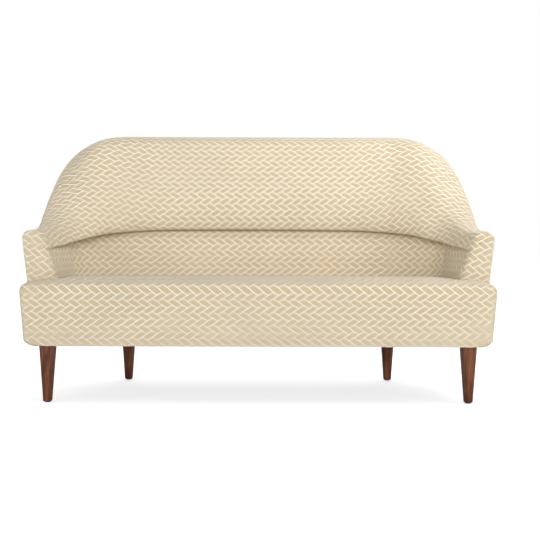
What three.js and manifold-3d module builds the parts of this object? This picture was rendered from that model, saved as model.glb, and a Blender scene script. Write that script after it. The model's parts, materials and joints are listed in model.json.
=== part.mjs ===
// High back settee: a horseshoe back that rolls over a lower pad and runs down into the arms,
// over a tight seat with ears in front of the arms, on four square tapered legs.
// Millimetres, +Z up. The settee faces -Y; "left" is the viewer's left, -X.
import * as THREE from 'three';
import { mergeVertices } from 'three/addons/utils/BufferGeometryUtils.js';
import Module from 'manifold-3d';

const wasm = await Module();
wasm.setup();

// Driving sizes

const clearance = 0.3;            // gap kept between pieces that touch
const overrun = 20;               // how far a cutter runs past the face it cuts
const weldDistance = 0.0001;
const coverThickness = 4;         // upholstery cloth with its lining
const liningThickness = 2;        // dust cover, spring insulator and webbing

const plan = {
  armHalfWidth: 863,              // outside of the arms at seat height
  backDepth: 712,                 // outside of the back at seat height, from the seat front
  cornerRadius: 340,              // outside corner of the horseshoe
  armFrontDepth: 107,             // the arms start this far behind the seat front
};

const shell = {
  hemHeight: 208.3,               // lower edge of the outside covers
  kneeHeight: 434,                // the sides stand widest here
  hemTuck: 18,                    // how far the sides draw in at the hem
  backLean: 25,                   // the back leans out above the knee
  wingLean: -6,                   // and the wings lean in
  armFlare: 21,
};

const upper = {
  backCrest: 1018,                // height of the back
  armCrest: 631,                  // height of the arm fronts
  backLip: 631,                   // underside of the roll at the middle
  armLip: 557,
  backRoll: 253,                  // thickness of the roll from the outside to its fullest point
  armRoll: 99,
  backSeamDrop: 90,               // outside seam below the crest
  armSeamDrop: 40,
  backRailDrop: 62,               // top of the wooden rail below the crest
  armRailDrop: 30,
};

const lower = {
  backTop: 180,                   // front face of the lower pad, in from the outside
  backBottom: 184,
  armTop: 80,
  armBottom: 112,
  slopeHeight: 462,               // below this the pad goes straight down behind the seat
  hem: 352,
  backShoulder: 56,               // the top of the pad turns back over this height
  armShoulder: 6,
  crown: 5,
};

const seat = {
  overhang: 9,                    // how far the ears stand out past the arms
  topHeight: 434,                 // where the front edge turns into the top
  crown: 20,
  edgeRadius: 27,
  cornerRadius: 30,
  frontTuck: 10,                  // the front face draws in at the hem
  coreSideInset: 182,             // ring inside the edge that the crown runs on from
  coreFront: 62,
  coreEar: 72,
  coreNotch: 98,
  coreBackInset: 282,
  lipHeight: 28,                  // the foam hangs this far down in front of the rail
  foamGap: 0.8,
};

const facing = { thickness: 13, edge: 10, bottom: 352 };

const rail = {
  thickness: 30,
  bottom: 210.6,
  seatTop: 325,
  wadding: 3,                     // left between the upper frame and the outside covers
  frontDepth: 21,
  frontThickness: 24,
  frontEndInset: 27,
  backHeight: 60,                 // depth of the top rail below its own top
  armHeight: 42,
  slopeGap: 1.5,                  // left over the posts, where the rails slope
  tackThickness: 18,
  tackRise: 14,                   // the tack rail reaches this far above and below the fold
  postWidth: 42,
};

const stretcher = { width: 45, height: 80 };

const block = { size: 68, height: 50, gap: 3 };

const leg = {
  topWidth: 56,
  footWidth: 30,
  topChamfer: 8,
  footChamfer: 4.5,
  top: 208,
  foot: 4,
  frontSideInset: 92,
  frontDepth: 55,
  backSideInset: 320,
  backInset: 63,
};

const glide = { radius: 11.5, edge: 1.6, pinRadius: 2, pinLength: 16 };

const bolt = { radius: 4, tip: 1.2, inLeg: 42, inBlock: 44, fit: 0.4, dustHoleRadius: 7 };

const spring = {
  wireRadius: 2,
  halfWidth: 24,
  endInset: 223,                  // the outermost springs, in from the outside of the arms
  rise: 12,
  bearing: 14,                    // how far each end lies on its rail
};

const insulator = { sideInset: 52, frontDepth: 26, frontEndInset: 93 };

const dust = { inset: 32, frontDepth: 24, frontEndInset: 41 };

// Widths that follow the arms

const seatHalfWidth = plan.armHalfWidth + seat.overhang;
const seatBackDepth = plan.backDepth - lower.backBottom;
const seatCoreBack = plan.backDepth - seat.coreBackInset;
const frontRailHalfWidth = plan.armHalfWidth - rail.frontEndInset;
const springSpanHalfWidth = plan.armHalfWidth - spring.endInset;

// Numbers of repeated things and of the facets of round ones

const springCounts = { springs: 8, waves: 9, stepsPerWave: 5 };
const facetCounts = { bore: 12, bolt: 12, glide: 14 };

// Shares chosen by hand along the horseshoe. The bend runs from 0 at the middle of the back
// to 1 where the corner starts, 2 where it ends and 3 at the arm front.

const bendShares = {
  cornerStart: 1,
  cornerEnd: 2,
  armFront: 3,
  backPost: 1.03,
  topRailEnd: 1.12,
  outsideSeam: 1.4,
  cornerPost: 1.5,
  cornerRailStart: 0.9,
  cornerRailEnd: 2.08,
};
const stationShares = [0, 0.5, 1, 1.17, 1.33, 1.5, 1.67, 1.83, 2, 2.2, 2.45, 2.7, 2.86, 3];
const crestShares = [
  [0, 1], [1, 1], [1.17, 0.992], [1.33, 0.957], [1.5, 0.86], [1.67, 0.665],
  [1.83, 0.41], [2, 0.195], [2.27, 0.078], [2.65, 0.012], [3, 0],
];
const rollShares = [
  [0, 1], [0.5, 1.013], [0.8, 1.045], [1, 1.09], [1.17, 1.074], [1.33, 1.003], [1.5, 0.902],
  [1.67, 0.786], [1.83, 0.669], [2, 0.4], [2.27, 0.13], [2.65, 0.02], [3, 0],
];
const lipShares = [
  [0, 1], [0.75, 0.97], [1, 0.87], [1.5, 0.73], [1.83, 0.54], [2, 0.42],
  [2.27, 0.22], [2.65, 0.11], [3, 0],
];
const lowerShares = [[0, 1], [1, 1], [1.5, 0.62], [2, 0.22], [3, 0]];
const outlineBlendShares = [[0, 1], [1.6, 1], [2, 0.62], [2.27, 0.35], [2.65, 0.12], [3, 0]];
const leanBackShares = [[0, 1], [1, 1], [1.5, 0.25], [2, 0], [3, 0]];
const leanArmShares = [[0, 0], [2, 0], [2.5, 0.22], [2.8, 0.7], [3, 1]];

// The outline of the roll as shares of its thickness, from the outside in, and of its height,
// from the lip up to the crest: once for the back and once for the arm front.
const backRollShares = [
  [0.02, 0.885], [0.09, 0.955], [0.22, 0.99], [0.415, 1], [0.57, 0.955], [0.66, 0.88],
  [0.76, 0.73], [0.889, 0.488], [0.972, 0.36], [1, 0.23], [0.99, 0.08], [0.945, 0.013], [0.87, 0],
];
const armRollShares = [
  [0.03, 0.68], [0.11, 0.855], [0.25, 0.97], [0.48, 1], [0.62, 0.985], [0.74, 0.94],
  [0.81, 0.84], [0.845, 0.68], [0.88, 0.52], [0.92, 0.34], [0.96, 0.18], [0.985, 0.07], [0.96, 0],
];

// The shoulder of the lower pad as shares of its height: back from the face, and down
const shoulderShares = [[0.62, 0], [0.22, 0.3], [0, 1]];

// How near to its ends the bend of a member at the knee may lie
const kneeShares = [0.05, 0.95];

// The plan of the seat: points along its front, round its corner, on its side and on the wall
// behind its ear, where each has its inward direction too
const seatFrontShares = [0, 0.28, 0.56, 0.84];
const seatCornerShares = [0, 0.25, 0.5, 0.75, 1];
const seatSideShare = 0.6;
const seatWallShares = [[0.078, -0.75], [0.6, 0]];
const seatMiddleShare = 0.38;
const frontFacingShare = 0.5;

// The crown of the seat along its depth, the rings it is built on, its rounded edge, and the
// power it falls off with towards the ears
const seatCrownShares = [[0, 0.1], [0.06, 0.5], [0.16, 0.87], [0.32, 1], [0.55, 0.84], [1, 0.1]];
const seatRingShares = [0.4, 1];
const seatEdgeShares = [[0, 0], [0.1, 0.42], [0.4, 0.8], [1, 1]];
const sideFallShare = 14;

// The rounded edge of a facing, the sharpest corner an offset line still follows, and a spread
// for the nudges of a cap's points
const facingEdgeShare = 0.3;
const mitreShare = 0.5;
const nudgeShare = 0.618;
const nudgeDistance = clearance / 10;

// Interpolation and the plan path

function mix(a, b, share) {
  return a + (b - a) * share;
}

// Monotone cubic through a table of [position, value]
function follow(table, position) {
  const last = table.length - 1;
  const at = Math.min(Math.max(position, table[0][0]), table[last][0]);
  const slopes = table.slice(1).map(([x, y], i) => (y - table[i][1]) / (x - table[i][0]));
  const tangent = (i) => {
    if (i === 0 || i === last) return 0;
    const before = slopes[i - 1];
    const after = slopes[i];
    return before * after > 0 ? (2 * before * after) / (before + after) : 0;
  };
  let i = 0;
  while (i < last - 1 && at > table[i + 1][0]) i += 1;
  const width = table[i + 1][0] - table[i][0];
  const t = (at - table[i][0]) / width;
  const rise = table[i + 1][1] - table[i][1];
  const ease = t * t * (3 - 2 * t);
  const into = t * (1 - t) * (1 - t) * width * tangent(i);
  const outOf = t * t * (t - 1) * width * tangent(i + 1);
  return table[i][1] + rise * ease + into + outOf;
}

const cornerX = plan.armHalfWidth - plan.cornerRadius;
const cornerDepth = plan.backDepth - plan.cornerRadius;
const armLength = cornerDepth - plan.armFrontDepth;

// Bend of a point on the straight arm at a given depth
function bendAtDepth(depth) {
  return bendShares.cornerEnd + (cornerDepth - depth) / armLength;
}

// A point of the horseshoe: its place, and the outward direction there. Side is -1 or 1.
function pathAt(bend, side) {
  const { cornerStart, cornerEnd } = bendShares;
  if (bend <= cornerStart) return { x: side * cornerX * bend, y: plan.backDepth, outX: 0, outY: 1 };
  if (bend <= cornerEnd) {
    const turn = ((bend - cornerStart) * Math.PI) / 2;
    return {
      x: side * (cornerX + plan.cornerRadius * Math.sin(turn)),
      y: cornerDepth + plan.cornerRadius * Math.cos(turn),
      outX: side * Math.sin(turn),
      outY: Math.cos(turn),
    };
  }
  const depth = cornerDepth - (bend - cornerEnd) * armLength;
  return { x: side * plan.armHalfWidth, y: depth, outX: side, outY: 0 };
}

// The sizes of the section at a bend

function sizesAt(bend) {
  const back = follow(outlineBlendShares, bend);
  return {
    back,
    crest: mix(upper.armCrest, upper.backCrest, follow(crestShares, bend)),
    lip: mix(upper.armLip, upper.backLip, follow(lipShares, bend)),
    roll: mix(upper.armRoll, upper.backRoll, follow(rollShares, bend)),
    lean: shell.wingLean
      + (shell.backLean - shell.wingLean) * follow(leanBackShares, bend)
      + (shell.armFlare - shell.wingLean) * follow(leanArmShares, bend),
    seamDrop: mix(upper.armSeamDrop, upper.backSeamDrop, back),
    railDrop: mix(upper.armRailDrop, upper.backRailDrop, back),
    railHeight: mix(rail.armHeight, rail.backHeight, back),
    lowerTop: mix(lower.armTop, lower.backTop, follow(lowerShares, bend)),
    lowerBottom: mix(lower.armBottom, lower.backBottom, follow(lowerShares, bend)),
    shoulder: mix(lower.armShoulder, lower.backShoulder, back),
  };
}

// How far the outside stands out from the path at a height
function outsideAt(sizes, height) {
  if (height <= shell.kneeHeight) {
    return (-shell.hemTuck * (shell.kneeHeight - height)) / (shell.kneeHeight - shell.hemHeight);
  }
  return (sizes.lean * (height - shell.kneeHeight)) / (sizes.crest - shell.kneeHeight);
}

const frameInset = coverThickness + clearance;

function postInnerAt(sizes, height) {
  return outsideAt(sizes, height) - frameInset - rail.wadding - rail.thickness;
}

function tackOuterAt(sizes) {
  const ends = [sizes.lip - rail.tackRise, sizes.lip + rail.tackRise];
  return Math.min(...ends.map((height) => postInnerAt(sizes, height))) - clearance;
}

function tackInnerAt(sizes) {
  return tackOuterAt(sizes) - rail.tackThickness;
}

function seamHeight(sizes) {
  return sizes.crest - sizes.seamDrop;
}

function railTop(sizes) {
  return sizes.crest - sizes.railDrop;
}

// The outline of the roll, from the outside seam over the crest and under the lip to the fold
function rollLine(sizes) {
  const line = [
    [outsideAt(sizes, seamHeight(sizes)), seamHeight(sizes)],
    [outsideAt(sizes, railTop(sizes)), railTop(sizes)],
  ];
  backRollShares.forEach(([inBack, upBack], i) => {
    const [inArm, upArm] = armRollShares[i];
    const inward = mix(inArm, inBack, sizes.back);
    const up = mix(upArm, upBack, sizes.back);
    line.push([sizes.lean - inward * sizes.roll, mix(sizes.lip, sizes.crest, up)]);
  });
  line.push([tackInnerAt(sizes) - clearance, sizes.lip]);
  return line;
}

// The outline of the lower pad, from the fold over its shoulder and down behind the seat
function lowerLine(sizes) {
  const top = sizes.lip - 2 * clearance;
  const face = -sizes.lowerTop - lower.crown * sizes.back;
  const foot = -sizes.lowerBottom;
  return [
    [tackInnerAt(sizes) - clearance, top],
    ...shoulderShares.map(([back, down]) => [face + back * sizes.shoulder, top - down * sizes.shoulder]),
    [(face + foot) / 2, (top - sizes.shoulder + lower.slopeHeight) / 2],
    [foot, lower.slopeHeight],
    [foot, lower.hem],
  ];
}

// A line moved to its left by a distance, kept the same number of points
function offsetLine(line, distance) {
  return line.map(([n, z], i) => {
    const before = line[Math.max(i - 1, 0)];
    const after = line[Math.min(i + 1, line.length - 1)];
    const a = new THREE.Vector2(n - before[0], z - before[1]).normalize();
    const b = new THREE.Vector2(after[0] - n, after[1] - z).normalize();
    if (i === 0) a.copy(b);
    if (i === line.length - 1) b.copy(a);
    const along = a.clone().add(b).normalize();
    const reach = distance / Math.max(along.dot(a), mitreShare);
    return [n - along.y * reach, z + along.x * reach];
  });
}

// Geometry builders

function closedGeometry(points, triangles) {
  const positions = points.flatMap((point) => [point.x, point.y, point.z]);
  let volume = 0;
  triangles.forEach(([a, b, c]) => {
    volume += points[a].dot(new THREE.Vector3().crossVectors(points[b], points[c]));
  });
  const index = triangles.flatMap(([a, b, c]) => (volume < 0 ? [a, c, b] : [a, b, c]));
  const geometry = new THREE.BufferGeometry();
  geometry.setAttribute('position', new THREE.Float32BufferAttribute(positions, 3));
  geometry.setIndex(index);
  return geometry;
}

// Triangles over a flat outline, wound the same way round as the outline is. The points are
// nudged unevenly for this, so that none is skipped where three lie on one line.
function capTriangles(outline) {
  const nudged = offsetLine(outline, nudgeDistance).map(([x, y], i) => {
    const share = (i * nudgeShare) % 1;
    return [mix(outline[i][0], x, share), mix(outline[i][1], y, share)];
  });
  const flat = nudged.map(([x, y]) => new THREE.Vector2(x, y));
  const turn = Math.sign(THREE.ShapeUtils.area(flat));
  return THREE.ShapeUtils.triangulateShape(flat, []).map((face) => {
    const area = THREE.ShapeUtils.area(face.map((i) => flat[i]));
    return Math.sign(area) === turn ? face : [face[0], face[2], face[1]];
  });
}

// The side faces between rings of equal length, joined in order. The left half of a piece
// takes the other diagonal, so that both halves are alike.
function ringTriangles(rings, isLeft) {
  const size = rings[0].length;
  const triangles = [];
  for (let r = 0; r < rings.length - 1; r += 1) {
    for (let i = 0; i < size; i += 1) {
      const next = (i + 1) % size;
      const a = r * size + i;
      const b = r * size + next;
      if (isLeft(r, i)) triangles.push([a, b, a + size], [b, b + size, a + size]);
      else triangles.push([a, b, b + size], [a, b + size, a + size]);
    }
  }
  return triangles;
}

// Joined rings closed by flat outlines
function joinRings(rings, firstOutline, lastOutline, isLeft) {
  const triangles = ringTriangles(rings, isLeft);
  const last = (rings.length - 1) * rings[0].length;
  capTriangles(firstOutline).forEach(([a, b, c]) => triangles.push([a, c, b]));
  capTriangles(lastOutline).forEach(([a, b, c]) => triangles.push([last + a, last + b, last + c]));
  return closedGeometry(rings.flat(), triangles);
}

// Joined rings closed by fans round a middle point of the first and the last. From the turn on
// the rings are listed upwards, and take the other diagonal to run like the ones under them.
function joinDomes(rings, turn, firstMiddle, lastMiddle) {
  const size = rings[0].length;
  const triangles = ringTriangles(rings, (r, i) => (i >= size / 2) === (r < turn));
  const points = rings.flat();
  const first = points.length;
  const final = first + 1;
  const last = first - size;
  points.push(firstMiddle, lastMiddle);
  for (let i = 0; i < size; i += 1) {
    const next = (i + 1) % size;
    triangles.push([first, next, i], [final, last + i, last + next]);
  }
  return closedGeometry(points, triangles);
}

// Signed bend: negative on the left half, positive on the right
function placeAt(signedBend, [n, z]) {
  const path = pathAt(Math.abs(signedBend), signedBend < 0 ? -1 : 1);
  return new THREE.Vector3(path.x + path.outX * n, path.y + path.outY * n, z);
}

const stations = [...stationShares.slice(1).map((share) => -share).reverse(), ...stationShares];

// The ring of a section at any bend, on the flat facets between the stations beside it
function ringAt(sectionOf, signedBend) {
  let i = 0;
  while (i < stations.length - 2 && signedBend > stations[i + 1]) i += 1;
  const share = (signedBend - stations[i]) / (stations[i + 1] - stations[i]);
  const before = sectionOf(sizesAt(Math.abs(stations[i])));
  const after = sectionOf(sizesAt(Math.abs(stations[i + 1])));
  const outline = before.map(([n, z], k) => [mix(n, after[k][0], share), mix(z, after[k][1], share)]);
  const ring = before.map((point, k) => (
    placeAt(stations[i], point).lerp(placeAt(stations[i + 1], after[k]), share)
  ));
  return { outline, ring };
}

// A piece of one section swept along the horseshoe between two signed bends
function sweep(sectionOf, from, to) {
  const inside = stations.filter((station) => station > from && station < to);
  const bends = [from, ...inside, to];
  const rings = bends.map((bend) => ringAt(sectionOf, bend));
  const isLeft = (r) => bends[r] + bends[r + 1] < 0;
  return joinRings(rings.map(({ ring }) => ring), rings[0].outline, rings.at(-1).outline, isLeft);
}

function sweepSide(sectionOf, from, to, side) {
  return side < 0 ? sweep(sectionOf, -to, -from) : sweep(sectionOf, from, to);
}

function skinSection(line) {
  return [...line, ...offsetLine(line, coverThickness).reverse()];
}

function box(width, depth, height, x, y, z) {
  return new THREE.BoxGeometry(width, depth, height).translate(x, y, z + height / 2);
}

function extrudePlan(outline, bottom, thickness) {
  const shape = new THREE.Shape(outline.map(([x, y]) => new THREE.Vector2(x, y)));
  const geometry = new THREE.ExtrudeGeometry(shape, { depth: thickness, bevelEnabled: false });
  return geometry.translate(0, 0, bottom);
}

// Boolean cuts

function toSolid(geometry) {
  const bare = geometry.clone();
  bare.deleteAttribute('normal');
  bare.deleteAttribute('uv');
  const merged = mergeVertices(bare, weldDistance);
  return new wasm.Manifold(new wasm.Mesh({
    numProp: 3,
    vertProperties: new Float32Array(merged.attributes.position.array),
    triVerts: new Uint32Array(merged.index.array),
  }));
}

function toGeometry(solid) {
  const mesh = solid.getMesh();
  const geometry = new THREE.BufferGeometry();
  geometry.setAttribute('position', new THREE.BufferAttribute(mesh.vertProperties, 3));
  geometry.setIndex(new THREE.BufferAttribute(mesh.triVerts, 1));
  return geometry;
}

function cut(geometry, cutters) {
  const solid = cutters.reduce((body, cutter) => body.subtract(toSolid(cutter)), toSolid(geometry));
  return toGeometry(solid);
}

function bore(radius, x, y, bottom, height) {
  const cylinder = new THREE.CylinderGeometry(radius, radius, height, facetCounts.bore);
  return cylinder.rotateX(Math.PI / 2).translate(x, y, bottom + height / 2);
}

// Materials

const finishes = {
  fabric: { color: 0xe2d3b4, roughness: 0.92, metalness: 0 },
  walnut: { color: 0x5b3a26, roughness: 0.42, metalness: 0 },
  rawWood: { color: 0xc9a877, roughness: 0.8, metalness: 0 },
  foam: { color: 0xf0e7c8, roughness: 0.95, metalness: 0 },
  steel: { color: 0x8d8f92, roughness: 0.35, metalness: 1 },
  lining: { color: 0x2b2b2c, roughness: 0.95, metalness: 0 },
  glide: { color: 0x161616, roughness: 0.6, metalness: 0 },
};

const settee = new THREE.Group();

function addPiece(name, geometry, finish) {
  const piece = new THREE.Mesh(geometry, new THREE.MeshStandardMaterial(finishes[finish]));
  piece.name = name;
  settee.add(piece);
}

const sides = [['left', -1], ['right', 1]];

// Wooden frame

// A member between two heights, standing between the outside cover and the padding
function memberSection(bottomOf, topOf, inset) {
  return (sizes) => {
    const low = bottomOf(sizes);
    const high = topOf(sizes);
    const [lowest, highest] = kneeShares.map((share) => mix(low, high, share));
    const knee = Math.min(Math.max(shell.kneeHeight, lowest), highest);
    const outer = [low, knee, high].map((z) => [outsideAt(sizes, z) - inset, z]);
    return [...outer, ...outer.map(([n, z]) => [n - rail.thickness, z]).reverse()];
  };
}

const seatRailSection = memberSection(() => rail.bottom, () => rail.seatTop, frameInset);

const postSection = memberSection(
  () => rail.seatTop + clearance,
  (sizes) => railTop(sizes) - sizes.railHeight - rail.slopeGap,
  frameInset + rail.wadding,
);

const topRailSection = memberSection(
  (sizes) => railTop(sizes) - sizes.railHeight,
  (sizes) => railTop(sizes),
  frameInset + rail.wadding,
);

function tackRailSection(sizes) {
  const outer = tackOuterAt(sizes);
  const inner = tackInnerAt(sizes);
  const low = sizes.lip - rail.tackRise;
  const high = sizes.lip + rail.tackRise;
  return [[outer, low], [outer, high], [inner, high], [inner, low]];
}

// Half the length of a post along the path, as a share of the stretch it stands on
const backPostShare = rail.postWidth / 2 / cornerX;
const cornerPostShare = rail.postWidth / 2 / ((plan.cornerRadius * Math.PI) / 2);
const armPostShare = rail.postWidth / armLength;
const frameFront = bendAtDepth(plan.armFrontDepth + facing.thickness + clearance);
const sideRailFront = bendAtDepth(rail.frontDepth + rail.frontThickness + clearance);
const bendGap = clearance / armLength;

function buildSeatFrame() {
  addPiece('front_seat_rail', box(
    2 * frontRailHalfWidth, rail.frontThickness, rail.seatTop - rail.bottom,
    0, rail.frontDepth + rail.frontThickness / 2, rail.bottom,
  ), 'rawWood');
  const { cornerRailStart, cornerRailEnd } = bendShares;
  addPiece('back_seat_rail', sweep(seatRailSection, -cornerRailStart, cornerRailStart), 'rawWood');
  sides.forEach(([name, side]) => {
    addPiece(`corner_seat_rail_${name}`, sweepSide(
      seatRailSection, cornerRailStart + bendGap, cornerRailEnd, side,
    ), 'rawWood');
    addPiece(`side_seat_rail_${name}`, sweepSide(
      seatRailSection, cornerRailEnd + bendGap, sideRailFront, side,
    ), 'rawWood');
  });
}

function buildBackFrame() {
  const { backPost, cornerPost, topRailEnd } = bendShares;
  addPiece('centre_post', sweep(postSection, -backPostShare, backPostShare), 'rawWood');
  addPiece('top_rail', sweep(topRailSection, -topRailEnd, topRailEnd), 'rawWood');
  addPiece('tack_rail', sweep(tackRailSection, -frameFront, frameFront), 'rawWood');
  sides.forEach(([name, side]) => {
    addPiece(`back_post_${name}`, sweepSide(
      postSection, backPost - backPostShare, backPost + backPostShare, side,
    ), 'rawWood');
    addPiece(`corner_post_${name}`, sweepSide(
      postSection, cornerPost - cornerPostShare, cornerPost + cornerPostShare, side,
    ), 'rawWood');
    addPiece(`arm_post_${name}`, sweepSide(postSection, frameFront - armPostShare, frameFront, side), 'rawWood');
    addPiece(`wing_rail_${name}`, sweepSide(
      topRailSection, topRailEnd + bendGap, frameFront, side,
    ), 'rawWood');
  });
}

// Depth of a rail's face at a distance from the middle, following the round corner
function railDepthAt(x, inset) {
  const across = Math.max(Math.abs(x) - cornerX, 0);
  const radius = plan.cornerRadius - inset;
  return cornerDepth + Math.sqrt(radius * radius - across * across);
}

// The outer face of the seat rails at the hem, and their inner face there
const railOuterInset = shell.hemTuck + frameInset;
const railInnerInset = railOuterInset + rail.thickness;
const railBackFace = rail.frontDepth + rail.frontThickness;
const backLegDepth = plan.backDepth - leg.backInset;
const frontLegX = plan.armHalfWidth - leg.frontSideInset;
const backLegX = plan.armHalfWidth - leg.backSideInset;

// Where each leg stands, and the middle of the block above it
const frontBlockDepth = railBackFace + clearance + block.size / 2;
const backBlockFace = railDepthAt(backLegX + block.size / 2, railInnerInset) - block.gap;
const legPlaces = sides.flatMap(([name, side]) => [
  { name: `front_${name}`, x: side * frontLegX, y: leg.frontDepth, blockY: frontBlockDepth },
  {
    name: `back_${name}`, x: side * backLegX, y: backLegDepth, blockY: backBlockFace - block.size / 2,
  },
]);

function buildBracing() {
  const from = railBackFace + clearance;
  const to = railDepthAt(0, railInnerInset) - clearance;
  addPiece('centre_stretcher', box(
    stretcher.width, to - from, stretcher.height, 0, (from + to) / 2, rail.bottom,
  ), 'rawWood');
  legPlaces.forEach(({ name, x, y, blockY }) => {
    const body = box(block.size, block.size, block.height, x, blockY, rail.bottom);
    const hole = bore(
      bolt.radius + bolt.fit, x, y, rail.bottom - overrun, block.height + 2 * overrun,
    );
    addPiece(`corner_block_${name}`, cut(body, [hole]), 'rawWood');
  });
}

// Seat springs: one wire each, bent in flat waves and bowed upwards between the rails

class SpringWire extends THREE.Curve {
  constructor(x, from, to, bottom) {
    super();
    Object.assign(this, { x, from, to, bottom });
  }

  getPoint(share, target = new THREE.Vector3()) {
    const wave = Math.sin(share * springCounts.waves * 2 * Math.PI);
    const bow = Math.sin(share * Math.PI);
    return target.set(
      this.x + spring.halfWidth * wave,
      mix(this.from, this.to, share),
      this.bottom + spring.wireRadius + spring.rise * bow * bow,
    );
  }
}

function buildSprings() {
  const square = [0, 1, 2, 3].map((i) => {
    const turn = ((i + 0.5) * Math.PI) / 2;
    return new THREE.Vector2(Math.cos(turn), Math.sin(turn)).multiplyScalar(spring.wireRadius);
  });
  const lastSpring = springCounts.springs - 1;
  for (let i = 0; i <= lastSpring; i += 1) {
    const x = mix(-springSpanHalfWidth, springSpanHalfWidth, i / lastSpring);
    const from = railBackFace - spring.bearing;
    const to = railDepthAt(x, railInnerInset) + spring.bearing;
    const wire = new SpringWire(x, from, to, rail.seatTop + clearance);
    addPiece(`seat_spring_${i + 1}`, new THREE.ExtrudeGeometry(new THREE.Shape(square), {
      steps: springCounts.waves * springCounts.stepsPerWave, bevelEnabled: false, extrudePath: wire,
    }), 'steel');
  }
}

const springTop = rail.seatTop + 2 * clearance + 2 * spring.wireRadius + spring.rise;
const insulatorTop = springTop + liningThickness;

// Flat sheets under and over the springs, and the webbing of the back

// The plan inside the horseshoe, set in from the outside, and closed along a straight front
function insidePlan(inset, frontDepth, frontEndInset) {
  const along = stations.filter((station) => Math.abs(station) <= bendShares.cornerEnd);
  const curve = along.map((station) => placeAt(station, [-inset, 0]));
  const frontHalfWidth = plan.armHalfWidth - frontEndInset;
  return [
    [-frontHalfWidth, frontDepth],
    ...curve.map((point) => [point.x, point.y]),
    [frontHalfWidth, frontDepth],
  ];
}

function buildLinings() {
  addPiece('spring_insulator', extrudePlan(
    insidePlan(insulator.sideInset, insulator.frontDepth, insulator.frontEndInset),
    springTop, liningThickness,
  ), 'lining');
  const dustBottom = rail.bottom - clearance - liningThickness;
  const dustSheet = extrudePlan(
    insidePlan(dust.inset, dust.frontDepth, dust.frontEndInset), dustBottom, liningThickness,
  );
  const holes = legPlaces.map(({ x, y }) => (
    bore(bolt.dustHoleRadius, x, y, dustBottom - overrun, liningThickness + 2 * overrun)
  ));
  addPiece('dust_cover', cut(dustSheet, holes), 'lining');
  const webbing = (sizes) => {
    const low = sizes.lip + rail.tackRise + clearance;
    const high = railTop(sizes);
    const outer = [low, high].map((z) => [postInnerAt(sizes, z) - clearance, z]);
    return [...outer, ...outer.map(([n, z]) => [n - liningThickness, z]).reverse()];
  };
  addPiece('back_webbing', sweep(webbing, -bendShares.cornerStart, bendShares.cornerStart), 'lining');
}

// Back and arm padding and covers. The padding is listed the way the inside of its cover is,
// so that the facets of both run alike.

const paddingGap = 2 * clearance + liningThickness;

function upperFoamSection(sizes) {
  const line = rollLine(sizes);
  line.at(-1)[0] -= clearance;
  const surface = offsetLine(line, coverThickness + 2 * clearance).slice(2);
  const shelf = railTop(sizes) + rail.slopeGap;
  const tackTop = sizes.lip + rail.tackRise + clearance;
  const inner = postInnerAt(sizes, tackTop) - paddingGap;
  return [
    ...surface,
    [surface.at(-1)[0], tackTop],
    [inner, tackTop],
    [postInnerAt(sizes, shelf) - paddingGap, shelf],
    [outsideAt(sizes, railTop(sizes)) - frameInset - rail.wadding / 2, shelf],
  ].reverse();
}

function lowerFoamSection(sizes) {
  const line = lowerLine(sizes);
  line[0][0] -= clearance;
  const surface = offsetLine(line, coverThickness + clearance);
  const tackBottom = sizes.lip - rail.tackRise - clearance;
  const inner = (z) => postInnerAt(sizes, z) - paddingGap;
  const hem = lower.hem;
  return [
    ...surface,
    [inner(hem), hem],
    [inner(shell.kneeHeight), shell.kneeHeight],
    [inner(tackBottom), tackBottom],
    [surface[0][0], tackBottom],
  ].reverse();
}

function outsideCoverSection(sizes) {
  const top = seamHeight(sizes) - clearance;
  const line = [shell.hemHeight, shell.kneeHeight, top].map((z) => [outsideAt(sizes, z), z]);
  return [...line, ...line.map(([n, z]) => [n - coverThickness, z]).reverse()];
}

function buildBackUpholstery() {
  const { outsideSeam, armFront } = bendShares;
  addPiece('upper_back_foam', sweep(upperFoamSection, -frameFront, frameFront), 'foam');
  addPiece('lower_back_foam', sweep(lowerFoamSection, -frameFront, frameFront), 'foam');
  addPiece('upper_back_cover', sweep((sizes) => skinSection(rollLine(sizes)), -frameFront, frameFront), 'fabric');
  addPiece('lower_back_cover', sweep((sizes) => skinSection(lowerLine(sizes)), -frameFront, frameFront), 'fabric');
  addPiece('outside_back_cover', sweep(outsideCoverSection, -outsideSeam, outsideSeam), 'fabric');
  sides.forEach(([name, side]) => {
    const outsideArm = sweepSide(outsideCoverSection, outsideSeam + bendGap, armFront, side);
    addPiece(`outside_arm_cover_${name}`, cut(outsideArm, [facingPocket(side)]), 'fabric');
    addPiece(`arm_facing_${name}`, buildFacing(side), 'fabric');
  });
}

// The room cut out of the front of an outside arm cover for the facing
function facingPocket(side) {
  const depth = overrun + facing.thickness + clearance;
  return box(
    2 * (shell.hemTuck + shell.armFlare), depth, upper.armCrest,
    side * plan.armHalfWidth, plan.armFrontDepth - overrun + depth / 2, facing.bottom - clearance,
  );
}

// The padded panel that closes the front of an arm, its front edge rounded
function buildFacing(side) {
  const sizes = sizesAt(bendShares.armFront);
  const outline = [
    [outsideAt(sizes, facing.bottom), facing.bottom],
    [outsideAt(sizes, shell.kneeHeight), shell.kneeHeight],
    ...rollLine(sizes).slice(0, -1),
    ...lowerLine(sizes).slice(shoulderShares.length, -1),
    [-sizes.lowerBottom, facing.bottom],
  ];
  const closed = [...outline, outline[0]];
  const inset = offsetLine(closed, facing.edge).slice(0, -1);
  const narrow = offsetLine(closed, facing.edge * facingEdgeShare).slice(0, -1);
  const levels = [
    [inset, 0], [narrow, facing.edge * facingEdgeShare], [outline, facing.edge], [outline, facing.thickness],
  ];
  const rings = levels.map(([points, depth]) => points.map(([n, z]) => (
    new THREE.Vector3(side * (plan.armHalfWidth + n), plan.armFrontDepth + depth, z)
  )));
  return joinRings(rings, inset, outline, () => side < 0);
}

// The seat

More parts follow.
